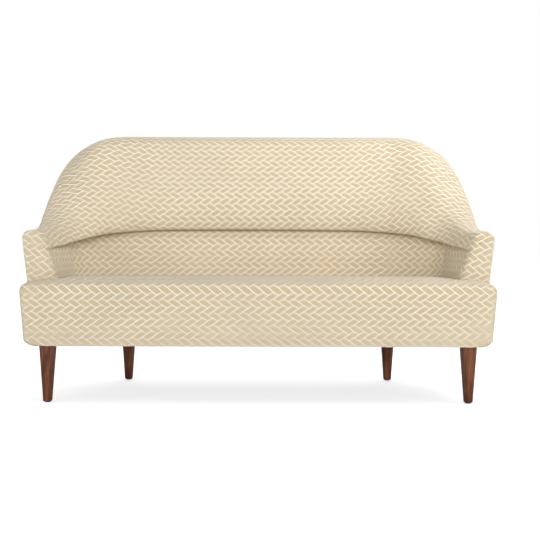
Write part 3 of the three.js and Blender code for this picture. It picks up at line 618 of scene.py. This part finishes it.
# Blocks of three stripes laid in zigzags: which stripe or outline a point of the cloth lies on
def buildClothGroup():
    group, start, end = newGroup(
        "blockCloth", [("Place", "Vector")], [("Colour", "Color"), ("Height", "Float")]
    )

    def do(operation, *values):
        return sums(group, operation, *values)

    split = newNode(group, "SeparateXYZ")
    group.links.new(start.outputs["Place"], split.inputs[0])
    x, y = split.outputs[0], split.outputs[1]
    across = do("DIVIDE", x, weave["repeatWidth"])
    up = do("ADD", do("DIVIDE", y, weave["repeatHeight"] / 2), weave["phase"])
    a = do("ADD", up, across)
    b = do("SUBTRACT", up, across)
    fractA, fractB = do("FRACT", a), do("FRACT", b)
    turn = do("FLOORED_MODULO", do("ADD", do("FLOOR", a), do("FLOOR", b)), 4.0)
    back = do("GREATER_THAN", turn, 1.5)
    half = do("SUBTRACT", turn, do("MULTIPLY", back, 2.0))
    swap = do("MULTIPLY", back, do("SUBTRACT", fractB, fractA))
    along = do("ADD", do("ADD", fractA, swap), half)
    cross = do("SUBTRACT", fractB, swap)
    edgeCross = do("MINIMUM", cross, do("SUBTRACT", 1.0, cross))
    edgeAlong = do("MINIMUM", along, do("SUBTRACT", 2.0, along))
    edge = do("MINIMUM", edgeCross, edgeAlong)
    thin, wide = weave["outline"] - weave["soft"], weave["outline"] + weave["soft"]
    outline = ramp(group, edge, thin, wide, 1, 0)
    phase = do("SUBTRACT", cross, weave["stripeAt"])
    wave = do("COSINE", do("MULTIPLY", phase, 2 * math.pi / weave["stripeSpacing"]))
    stripe = ramp(group, wave, *weave["stripeEdge"])
    colour = blendColours(group, stripe, palette["cream"], palette["ochre"])
    colour = blendColours(group, outline, colour, palette["white"])
    patches = addNoise(group, start.outputs["Place"], weave["patchScale"], 4)
    tone = ramp(group, patches, 0.3, 0.7, *weave["patchTone"])
    colour = blendColours(group, 1.0, colour, tone, "MULTIPLY")
    thread = 2 * math.pi / weave["yarn"]
    weft, warp = (do("SINE", do("MULTIPLY", way, thread)) for way in (x, y))
    yarn = do("MULTIPLY", do("MULTIPLY", weft, warp), weave["yarnRise"])
    stripes = do("MULTIPLY", stripe, weave["stripeRise"])
    raised = do("ADD", stripes, do("MULTIPLY", outline, weave["outlineRise"]))
    group.links.new(do("ADD", raised, yarn), end.inputs["Height"])
    group.links.new(colour, end.inputs["Colour"])
    return group


def buildCloth():
    material, tree, shader = newMaterial("blockCloth", clothSurface["Roughness"])
    for name, value in clothSurface.items():
        shader.inputs[name].default_value = value
    place = newNode(tree, "UVMap", uv_map="clothMap")
    cloth = newNode(tree, "Group", node_tree=buildClothGroup())
    tree.links.new(place.outputs[0], cloth.inputs["Place"])
    tree.links.new(cloth.outputs["Colour"], shader.inputs["Base Color"])
    addBump(tree, shader, cloth.outputs["Height"], clothBump)
    return material


def buildGrained(
    name, dark, light, roughness, metallic=0.0, specular=0.5, stretch=(1, 1, 1), scale=60.0,
    detail=5, distortion=0.0, span=(0.3, 0.7), depth=0.0003, strength=0.4,
):
    material, tree, shader = newMaterial(name, roughness, metallic)
    shader.inputs["Specular IOR Level"].default_value = specular
    place = newNode(tree, "TexCoord")
    mapping = newNode(tree, "Mapping")
    mapping.inputs["Scale"].default_value = stretch
    tree.links.new(place.outputs["Object"], mapping.inputs["Vector"])
    grain = addNoise(tree, mapping.outputs[0], scale, detail, distortion)
    colour = blendColours(tree, ramp(tree, grain, *span), dark, light)
    tree.links.new(colour, shader.inputs["Base Color"])
    addBump(tree, shader, grain, depth, strength)
    return material


finishes = {"cloth": buildCloth()}
for finish, values in grained.items():
    finishes[finish] = buildGrained(finish, **values)
print("finishes:", len(finishes))


def dressNodes():
    finishOf = {"frame_wood": "rawWood", "upholstery": "cloth"}
    for part in frame["record"]["subparts"]:
        slot = part["material_slot"]
        for place in frame["nodes"][part["node"]].material_slots:
            place.material = finishes[finishOf.get(slot, slot)]


# How cloth lies on a form. Its map is smoothed from column to column, and the threads turn with a
# share of its rise. A map that is eased is pulled towards the real lengths on the surface, all but
# the middle half width.
laying = {
    "smoothing": 30, "turnShare": 0.6, "easing": 2500, "middle": 0.44, "shear": 0.35, "stride": 1.6,
}


# Lengths along the mesh are kept better than its diagonals
def easeMap(points, laid):
    middle = len(points) // 2
    surface = np.array([[tuple(point) for point in column] for column in points[middle:]])
    flat = np.array([[tuple(place) for place in column] for column in laid[middle:]])
    columns, rows = flat.shape[:2]
    keep = int((flat[:, rows // 2, 0] < laying["middle"]).sum())
    start = flat[:keep].copy()
    ties = []
    shear = laying["shear"]
    for di, dj, weight in ((1, 0, 1), (0, 1, 1), (1, 1, shear), (1, -1, shear)):
        near = (slice(0, columns - di), slice(max(-dj, 0), rows - max(dj, 0)))
        far = (slice(di, columns), slice(max(dj, 0), rows - max(-dj, 0)))
        ties.append((near, far, np.linalg.norm(surface[far] - surface[near], axis=2), weight))
    pulls = np.zeros((columns, rows, 1))
    for near, far, _, weight in ties:
        pulls[near] += weight
        pulls[far] += weight
    for _ in range(laying["easing"]):
        moved = np.zeros_like(flat)
        for near, far, length, weight in ties:
            way = flat[far] - flat[near]
            now = np.maximum(np.linalg.norm(way, axis=2), 1e-9)
            pull = way * (weight * 0.5 * (now - length) / now)[..., None]
            moved[near] += pull
            moved[far] -= pull
        flat += laying["stride"] * moved / pulls
        flat[:keep] = start
    right = [[Vector(place) for place in column] for column in flat.tolist()]
    left = [[Vector((-place.x, place.y)) for place in column] for column in reversed(right)]
    return left[:len(laid) - len(right)] + right


# Cloth map of a swept piece. It is laid along one row, its spine, and runs up and down from there
# in every column. Beyond the middle the threads climb outward by a rise, and turn with it.
def clothMapOf(points, spineRow, rise=((0, 0), (1, 0)), smoothing=laying["smoothing"], eased=False):
    spine = [Vector((column[spineRow].x, column[spineRow].y)) for column in points]
    total = lengthsAlong(spine)
    middle = total[-1] / 2
    last = len(points) - 1
    laid = []
    for i, column in enumerate(points):
        outward = 1 if total[i] >= middle else -1
        along = (spine[min(i + 1, last)] - spine[max(i - 1, 0)]).normalized()
        u = total[i] - middle
        turn = outward * math.atan(slopeOf(rise, abs(u))) * laying["turnShare"]
        sideways = Vector((math.cos(turn), -math.sin(turn)))
        upward = Vector((math.sin(turn), math.cos(turn)))
        places = {spineRow: Vector((u, column[spineRow].z - follow(rise, abs(u))))}
        for step in (-1, 1):
            j = spineRow + step
            while 0 <= j < len(column):
                moved = column[j] - column[j - step]
                slide = moved.x * along.x + moved.y * along.y
                climb = math.sqrt(max(moved.length_squared - slide * slide, 0))
                places[j] = places[j - step] + sideways * slide - upward * climb * step
                j += step
        laid.append([places[j] for j in range(len(column))])
    for _ in range(smoothing):
        inside = [
            [(a + 2 * b + c) / 4 for a, b, c in zip(before, here, after)]
            for before, here, after in zip(laid, laid[1:], laid[2:])
        ]
        laid = [laid[0], *inside, laid[-1]]
    if eased:
        laid = easeMap(points, laid)

    def clothMap(i, j, column):
        return laid[i][j].x, laid[i][j].y

    return clothMap


def sweepPoints(lineOf, bends):
    return [[placeAt(bend, point) for point in lineOf(sizesAt(bend))] for bend in bends]


# Upper back: the roll and the arms

upperBack = {
    "spacing": 0.014, "steps": 4, "cloth": 0.0025, "spineRow": 46, "cap": 0.003,
    "edgeTurn": 0.003, "edgeLine": ((1, -0.2), (0.4, 0.1)),
    "held": {"first": 3, "last": 2, "ends": 2, "fade": 4},
}
clothRise = [
    (0.36, 0), (0.45, 0.004), (0.5, 0.0095), (0.55, 0.0177), (0.6, 0.028), (0.65, 0.0397),
    (0.7, 0.0535), (0.75, 0.07), (0.8, 0.088), (0.9, 0.11), (1.1, 0.12),
]


def upperLine(sizes):
    line = rollLine(sizes)
    n, z = line[0]
    turn = upperBack["edgeTurn"]
    edge = [(n - turn * inward, z + turn * up) for inward, up in upperBack["edgeLine"]]
    return edge + rounded([(n, z + turn), *line[1:]], upperBack["steps"])


def buildUpperBack():
    bends = bendsBetween(-coverFront, coverFront, upperBack["spacing"])
    points = sweepPoints(upperLine, bends)
    bm = layGrid(points, clothMapOf(points, upperBack["spineRow"], clothRise, eased=True))
    piece = addCover("upper_back_upholstery", bm, "upper_back_cover")
    swell(piece, heldRows(points, **upperBack["held"]), upperBack["cap"])
    addThickness(piece, upperBack["cloth"])
    print("upper back:", len(points), "by", len(points[0]))


# Lower back

lowerBack = {
    "spacing": 0.016, "steps": 5, "cloth": 0.0025, "spineRow": 15, "cap": 0.012,
    "held": {"first": 2, "last": 5, "ends": 2, "fade": 3},
}


def buildLowerBack():
    bends = bendsBetween(-coverFront, coverFront, lowerBack["spacing"])
    points = sweepPoints(lambda sizes: rounded(lowerLine(sizes), lowerBack["steps"]), bends)
    bm = layGrid(points, clothMapOf(points, lowerBack["spineRow"]))
    piece = addCover("lower_back_upholstery", bm, "lower_back_cover")
    swell(piece, heldRows(points, **lowerBack["held"]), lowerBack["cap"])
    addThickness(piece, lowerBack["cloth"])
    print("lower back:", len(points), "by", len(points[0]))


# Outside covers, with the hem turned under the rails

outside = {
    "spacing": 0.02, "cloth": 0.0025, "hemRadius": 0.005, "hemReturn": 0.02, "wallSteps": 30,
    "seamAt": 1.4, "seamGap": 0.0004, "turn": 0.003, "spineRow": 6,
    "runOn": 0.0001,                   # below its facing an arm's cover runs on from this bend past it
}


def outsideLine(sizes, seam):
    hem, radius, turn = shell["hemHeight"], outside["hemRadius"], outside["turn"]
    foot = outsideAt(sizes, hem)
    top = seam - outside["seamGap"]
    corner = hemTurn["round"] * radius
    under = [
        (foot - outside["hemReturn"], hem + 2 * hemTurn["lift"]), (foot - radius, hem + hemTurn["lift"]),
        (foot - corner, hem + corner), (outsideAt(sizes, hem + radius), hem + radius),
    ]
    steps = outside["wallSteps"]
    heights = [mix(hem + 2 * radius, top - turn, i / steps) for i in range(steps + 1)]
    wall = [(outsideAt(sizes, height), height) for height in heights]
    edge = [(wall[-1][0] - 0.4 * turn, top), (wall[-1][0] - turn, top)]
    return under + wall + edge


def buildOutside(name, first, last, node):
    bends = bendsBetween(first, last, outside["spacing"])
    seams = [sizesAt(bend)["seam"] for bend in bends]
    front = [coverFront + outside["runOn"], armEnd]
    below = [facing["bottom"]] * 2
    if last == coverFront:
        bends, seams = bends + front, seams + below
    if first == -coverFront:
        bends, seams = [-bend for bend in reversed(front)] + bends, below + seams
    points = []
    for bend, seam in zip(bends, seams):
        points.append([placeAt(bend, point) for point in outsideLine(sizesAt(bend), seam)])
    for column in (0, -1):                                 # the cloth's edges turn in at the seams
        _, _, outX, outY = pathAt(bends[column])
        turned = Vector((outX, outY, 0)) * outside["turn"]
        points[column] = [point - turned for point in points[column]]
    bm = layGrid(points, clothMapOf(points, outside["spineRow"], smoothing=0))
    addThickness(addCover(name, bm, node), outside["cloth"])


def buildOutsides():
    seam = outside["seamAt"]
    side = seam + clearance / armLength
    buildOutside("outside_back_upholstery", -seam, seam, "outside_back_cover")
    buildOutside("outside_arm_upholstery_right", side, coverFront, "outside_arm_cover_right")
    buildOutside("outside_arm_upholstery_left", -coverFront, -side, "outside_arm_cover_left")
    print("outside covers done")


# Arm facings

facing = {
    "bottom": 0.352, "outerLow": 0.393, "outerHigh": 0.51, "innerLow": 0.407, "padSteps": 3,
    "outerInset": 0.004, "innerInset": 0.022, "insetShares": [(-0.075, 1), (-0.02, 0)],
    "core": (-0.047, 0.59),            # the middle of the arm front, and how high it reaches
    "turnSteps": 8, "faceShares": (0.8, 0.55, 0.3, 0.1), "crown": 0.0015, "tilt": 7,
    "cloth": 0.0025, "sharpAngle": 60,
}


def facingOutline(sizes):
    heights = (facing["bottom"], facing["outerLow"], shell["kneeHeight"], facing["outerHigh"])
    inner = -sizes["lowerBottom"]
    return [
        *[(outsideAt(sizes, height), height) for height in heights],
        *rounded(rollLine(sizes)[:-1], upperBack["steps"]),
        *rounded(lowerLine(sizes)[3:-1], facing["padSteps"]),
        (inner, facing["innerLow"]),
        (inner, facing["bottom"]),
    ]


# Which way a point of the outline moves where the facing turns over the front edge, and how far
def facingInward(point):
    middle, highest = facing["core"]
    core = Vector((middle, min(max(point.y, facing["bottom"]), highest)))
    inset = mix(facing["outerInset"], facing["innerInset"], follow(facing["insetShares"], point.x))
    if point.y > facing["bottom"]:
        return (core - point).normalized(), inset
    return Vector((math.copysign(1, core.x - point.x), 0)), inset


# Rings from the back edge of a facing over the arm's front edge to its middle, with their map
def facingRings(side, tilt):
    front = seatFront + plan["armFrontDepth"]
    rings, maps = [], []
    for step in range(facing["turnSteps"] + 1):
        share = step / facing["turnSteps"]
        turn = math.pi / 2 * share
        back = plan["facingWrap"] * (1 - math.sin(turn))
        ring, places = [], []
        for point in map(Vector, facingOutline(sizesAt(3 - back / armLength))):
            inward, inset = facingInward(point)
            moved = point + inward * inset * (1 - math.cos(turn))
            arc = math.pi / 2 * (plan["facingWrap"] + inset) / 2
            unrolled = point + inward * (inset - arc * (1 - share))
            ring.append(Vector((side * (plan["armHalfWidth"] + moved.x), front + back, moved.y)))
            places.append(tilt @ Vector((side * (plan["armHalfWidth"] + unrolled.x), unrolled.y)))
        rings.append(ring)
        maps.append(places)
    rim = rings[-1]
    middle = sum(rim, Vector()) / len(rim)
    for share in facing["faceShares"]:
        swelling = Vector((0, facing["crown"] * (1 - share * share), 0))
        rings.append([mix(middle, point, share) - swelling for point in rim])
        maps.append([tilt @ Vector((point.x, point.z)) for point in rings[-1]])
    return [ring + ring[:1] for ring in rings], [ring + ring[:1] for ring in maps]


def buildFacings():
    tilt = Matrix.Rotation(math.radians(facing["tilt"]), 2)
    nearFront = seatFront + plan["armFrontDepth"] + 0.001
    for name, side in (("left", -1), ("right", 1)):
        rings, maps = facingRings(side, tilt)
        bm = layGrid(rings, lambda i, j, column: maps[i][j])
        weldPoints(bm)
        rims = [edge for edge in bm.edges if edge.is_boundary and edge.verts[0].co.y < nearFront]
        fillHole(bm, rims, lambda place: tilt @ Vector((place.x, place.z)))
        bmesh.ops.recalc_face_normals(bm, faces=bm.faces)
        if sum(face.normal.y * face.calc_area() for face in bm.faces) > 0:
            bmesh.ops.reverse_faces(bm, faces=bm.faces)
        node = f"arm_facing_{name}"
        piece = addCover(f"arm_facing_upholstery_{name}", bm, node, facing["sharpAngle"])
        addThickness(piece, facing["cloth"])
    print("arm facings done")


# Seat

seat = {
    "halfWidth": 0.872, "topHeight": 0.434, "crown": 0.02, "cornerRadius": 0.03, "cornerSteps": 8,
    "cornerLift": 0.03, "liftReach": 0.075, "liftAt": (0.3, 0.7), "frontTuck": 0.01, "sideFall": 14,
    "coreHalfWidth": 0.69, "coreFront": 0.062, "coreEar": 0.072, "coreNotch": 0.098,
    "coreBack": 0.43, "coreMiddle": 0.38, "spacing": 0.012, "backSpacing": 0.02, "cloth": 0.003,
    "earEdge": 0.004, "earShares": (0.078, 0.2), "hemRows": 4, "wallSteps": 14,
    "edgeRadius": 0.027, "edgeSteps": 8, "hemRadius": 0.006, "hemReturn": 0.018, "cap": 0.003,
    "heldHem": 0.03, "freeUp": 0.6, "freeFront": 0.7,      # slopes that face up or forward swell
}
seatCrownShares = [(0, 0.1), (0.06, 0.5), (0.16, 0.87), (0.32, 1), (0.55, 0.84), (1, 0.1)]
seatRingShares = [0.04, 0.12, 0.22, 0.34, 0.48, 0.62, 0.76, 0.88, 1]
seatMiddleShares = [0.9, 0.78, 0.64, 0.48, 0.32, 0.16, 0.04]


# A point of the seat's plan: its inward direction, the height of the hem there, how far round the
# wall behind the ear it lies, and the kind of its stretch
def planPoint(x, y, inX, inY, hem, wall, kind):
    return {"x": x, "y": y, "inX": inX, "inY": inY, "hem": hem, "wall": wall, "kind": kind}


# Half the plan, from the middle of the front round the ear to the middle of the back
def seatHalfPlan():
    points = []
    half, radius = seat["halfWidth"], seat["cornerRadius"]
    earBack = plan["armFrontDepth"] - clearance
    notchX = plan["armHalfWidth"] - sizesAt(3)["lowerBottom"] - clearance
    centreX = half - radius
    liftX, liftY = centreX + seat["liftAt"][0] * radius, seat["liftAt"][1] * radius

    def hemAt(x, y):
        far = math.hypot(liftX - x, liftY - y)
        return shell["hemHeight"] + seat["cornerLift"] * max(1 - far / seat["liftReach"], 0) ** 2

    def stretch(start, end, inward, hem, wall, kind):
        count = max(round((Vector(end) - Vector(start)).length / seat["spacing"]), 1)
        for i in range(count):
            x, y = mix(start[0], end[0], i / count), mix(start[1], end[1], i / count)
            points.append(planPoint(x, y, *inward, hem or hemAt(x, y), mix(*wall, i / count), kind))

    stretch((0, 0), (centreX, 0), (0, 1), None, (0, 0), "front")
    for i in range(seat["cornerSteps"]):
        turn = i / seat["cornerSteps"] * math.pi / 2
        x, y = centreX + radius * math.sin(turn), radius * (1 - math.cos(turn))
        points.append(planPoint(x, y, -math.sin(turn), math.cos(turn), hemAt(x, y), 0, "corner"))
    stretch((half, radius), (half, earBack - seat["earEdge"]), (-1, 0), None, (0, 0), "side")
    points.append(planPoint(half, earBack, -1, -1, shell["hemHeight"], 0, "wall"))
    near, far = seat["earShares"]
    points.append(planPoint(mix(half, notchX, near), earBack, -0.75, -1, lower["hem"], near, "wall"))
    start = (mix(half, notchX, far), earBack)
    stretch(start, (notchX, earBack), (0, -1), lower["hem"], (far, 1), "wall")
    for bend in reversed(bendsBetween(0, 3, seat["backSpacing"])):
        x, depth, outX, outY = pathAt(bend)
        inset = sizesAt(bend)["lowerBottom"] + clearance
        y, inY = depth - outY * inset, -outY
        if bend > armEnd:
            y, inY = earBack, -1
        points.append(planPoint(x - outX * inset, y, -outX, inY, lower["hem"], 1, "back"))
    return points


def seatWholePlan():
    right = seatHalfPlan()
    left = [dict(point, x=-point["x"], inX=-point["inX"]) for point in reversed(right[1:-1])]
    return right + left


def crownHeight(x, y):
    side = 1 - min(abs(x) / seat["halfWidth"], 1) ** seat["sideFall"]
    return seat["topHeight"] + seat["crown"] * side * follow(
        seatCrownShares, y / (plan["backDepth"] - lower["backBottom"])
    )


def seatEdgePoint(point, inset, height):
    widest = seat["topHeight"] - seat["edgeRadius"]
    tuck = max(widest - height, 0) / (widest - shell["hemHeight"]) if point["wall"] == 0 else 0
    x = point["x"] + point["inX"] * (inset + tuck * shell["hemTuck"])
    y = point["y"] + point["inY"] * inset + max(point["inY"], 0) * tuck * seat["frontTuck"]
    return Vector((x, y, height))


def seatCorePoint(point, share):
    depth = plan["backDepth"] - lower["backBottom"]
    behind = max(point["y"] - plan["armFrontDepth"], 0) / (depth - plan["armFrontDepth"])
    inEar = min(point["y"] / plan["armFrontDepth"], 1)
    coreX = point["x"] * seat["coreHalfWidth"] / seat["halfWidth"]
    ear = mix(mix(seat["coreFront"], seat["coreEar"], inEar), seat["coreNotch"], point["wall"])
    coreY = mix(ear, seat["coreBack"], behind)
    x = mix(point["x"] + point["inX"] * seat["edgeRadius"], coreX, share)
    y = mix(point["y"] + point["inY"] * seat["edgeRadius"], coreY, share)
    return Vector((x, y, crownHeight(x, y)))


def seatColumn(point):
    hem, hemRadius, edgeRadius = point["hem"], seat["hemRadius"], seat["edgeRadius"]
    side = seat["topHeight"] - edgeRadius
    if point["wall"] == 0:
        corner = hemTurn["round"] * hemRadius
        under = [
            (seat["hemReturn"], hem + 2 * hemTurn["lift"]), (hemRadius, hem + hemTurn["lift"]),
            (corner, hem + corner), (0, hem + hemRadius),
        ]
    else:
        last = seat["hemRows"] - 1
        under = [(0, mix(hem, hem + hemRadius, i / last)) for i in range(last + 1)]
    column = [seatEdgePoint(point, inset, height) for inset, height in under]
    for i in range(1, seat["wallSteps"] + 1):
        height = mix(hem + hemRadius, side, i / seat["wallSteps"])
        column.append(seatEdgePoint(point, 0, height))
    top = seatCorePoint(point, 0)
    for i in range(1, seat["edgeSteps"]):
        turn = i / seat["edgeSteps"] * math.pi / 2
        inset = edgeRadius * (1 - math.cos(turn))
        column.append(seatEdgePoint(point, inset, mix(side, top.z, math.sin(turn))))
    column += [seatCorePoint(point, share) for share in [0, *seatRingShares]]
    core = column[-1]
    middle = Vector((0, mix(seat["coreFront"], seat["coreBack"], seat["coreMiddle"])))
    for share in seatMiddleShares:
        x, y = mix(middle.x, core.x, share), mix(middle.y, core.y, share)
        column.append(Vector((x, y, crownHeight(x, y))))
    return column


def buildSeat():
    around = seatWholePlan()
    columns = [seatColumn(point) for point in around]
    columns.append(columns[0])
    wallRows = seat["hemRows"] + seat["wallSteps"]
    edgeRow = wallRows + seat["edgeSteps"] - 1             # the first row on the flat of the top
    perimeter = lengthsAlong([Vector((point["x"], point["y"], 0)) for point in around + around[:1]])
    edgeLength = seat["edgeRadius"] * math.pi / 2
    wallHeight = seat["topHeight"] - seat["edgeRadius"] - shell["hemHeight"]

    def topPlace(x, y):
        return x, wallHeight + edgeLength + y - seat["edgeRadius"]

    def clothMap(i, j, column):
        kind = around[column]["kind"]
        onLeft = column >= len(around) / 2
        turned = perimeter[i] - (perimeter[-1] if onLeft else 0)
        point = columns[i][j]
        if j >= edgeRow:
            return topPlace(point.x, point.y)
        if j < wallRows or kind in ("wall", "back"):
            return turned, point.z - shell["hemHeight"]
        rise = (j - wallRows + 1) / (edgeRow - wallRows + 1)
        u, v = topPlace(columns[i][edgeRow].x, columns[i][edgeRow].y)
        if kind == "side":
            return u + edgeLength * (1 - rise) * (-1 if onLeft else 1), v
        return mix(turned, u, rise), mix(wallHeight, v, rise)

    def spot(place):
        return tuple(round(value, 6) for value in place)

    points = [[Vector((p.x, p.y + seatFront, p.z)) for p in column] for column in columns]
    bm = layGrid(points, clothMap)
    weldPoints(bm)
    last = {spot(column[-1]) for column in points}
    borders = [edge for edge in bm.edges if edge.is_boundary]
    inner = [edge for edge in borders if all(spot(vert.co) in last for vert in edge.verts)]
    fillHole(bm, inner, lambda place: topPlace(place.x, place.y - seatFront))
    bmesh.ops.recalc_face_normals(bm, faces=bm.faces)
    piece = addCover("seat_upholstery", bm, "seat_cover")
    held = []
    for vert in piece.data.vertices:
        free = vert.normal.z >= seat["freeUp"] or vert.normal.y <= -seat["freeFront"]
        held.append(0 if free and vert.co.z >= shell["hemHeight"] + seat["heldHem"] else 1)
    swell(piece, held, seat["cap"])
    addThickness(piece, seat["cloth"])
    print("seat:", len(points), "by", len(points[0]))


# Foam under the covers: the solids' own forms, a little pressed in

foam = {"inset": 0.005, "weld": 1e-5, "sharpAngle": 35}


def buildFoams():
    for node in ("upper_back_foam", "lower_back_foam", "seat_foam"):
        bm = bmesh.new()
        bm.from_mesh(frame["nodes"][node].data)
        weldPoints(bm, foam["weld"])
        bm.normal_update()
        moves = [vert.normal * -foam["inset"] for vert in bm.verts]
        for vert, move in zip(bm.verts, moves):
            vert.co += move
        finishShading(bm, foam["sharpAngle"])
        piece = dress(addMesh(node.replace("foam", "padding"), bm), finishes["foam"], "foam", node)
    print("foam done")


# Legs

leg = {
    "topWidth": 0.056, "footWidth": 0.030, "top": 0.208, "foot": 0.004, "edge": 0.0045, "edgeSteps": 4,
    "footEdge": 0.0015, "footSteps": 2, "sharpAngle": 40,
    "frontX": 0.771, "frontDepth": 0.055, "backX": 0.543, "backInset": 0.063,
}


def bevelEdges(bm, edges, width, steps):
    bmesh.ops.bevel(
        bm, geom=edges, offset=width, offset_type="OFFSET", segments=steps, profile=0.5,
        affect="EDGES", material=-1,
    )


def buildLegs():
    spots = {
        "front": (leg["frontX"], leg["frontDepth"]),
        "back": (leg["backX"], plan["backDepth"] - leg["backInset"]),
    }
    for place, (x, depth) in spots.items():
        for name, side in (("left", -1), ("right", 1)):
            bm = bmesh.new()
            bmesh.ops.create_cube(bm, size=1)
            for vert in bm.verts:
                high = vert.co.z > 0
                width = leg["topWidth"] if high else leg["footWidth"]
                vert.co = (vert.co.x * width, vert.co.y * width, leg["top"] if high else leg["foot"])
            upright = [edge for edge in bm.edges if abs(edge.verts[0].co.z - edge.verts[1].co.z) > 0.1]
            bevelEdges(bm, upright, leg["edge"], leg["edgeSteps"])
            low = leg["foot"] + 1e-5
            rim = [edge for edge in bm.edges if all(vert.co.z < low for vert in edge.verts)]
            bevelEdges(bm, rim, leg["footEdge"], leg["footSteps"])
            bmesh.ops.recalc_face_normals(bm, faces=bm.faces)
            bmesh.ops.translate(bm, verts=bm.verts, vec=(side * x, seatFront + depth, 0))
            finishShading(bm, leg["sharpAngle"])
            piece = addMesh(f"tapered_leg_{place}_{name}", bm)
            dress(piece, finishes["walnut"], "walnut", f"leg_{place}_{name}")
    print("legs done")


buildCamera()
buildStudio()
dressNodes()
buildUpperBack()
buildLowerBack()
buildOutsides()
buildFacings()
buildSeat()
buildFoams()
buildLegs()
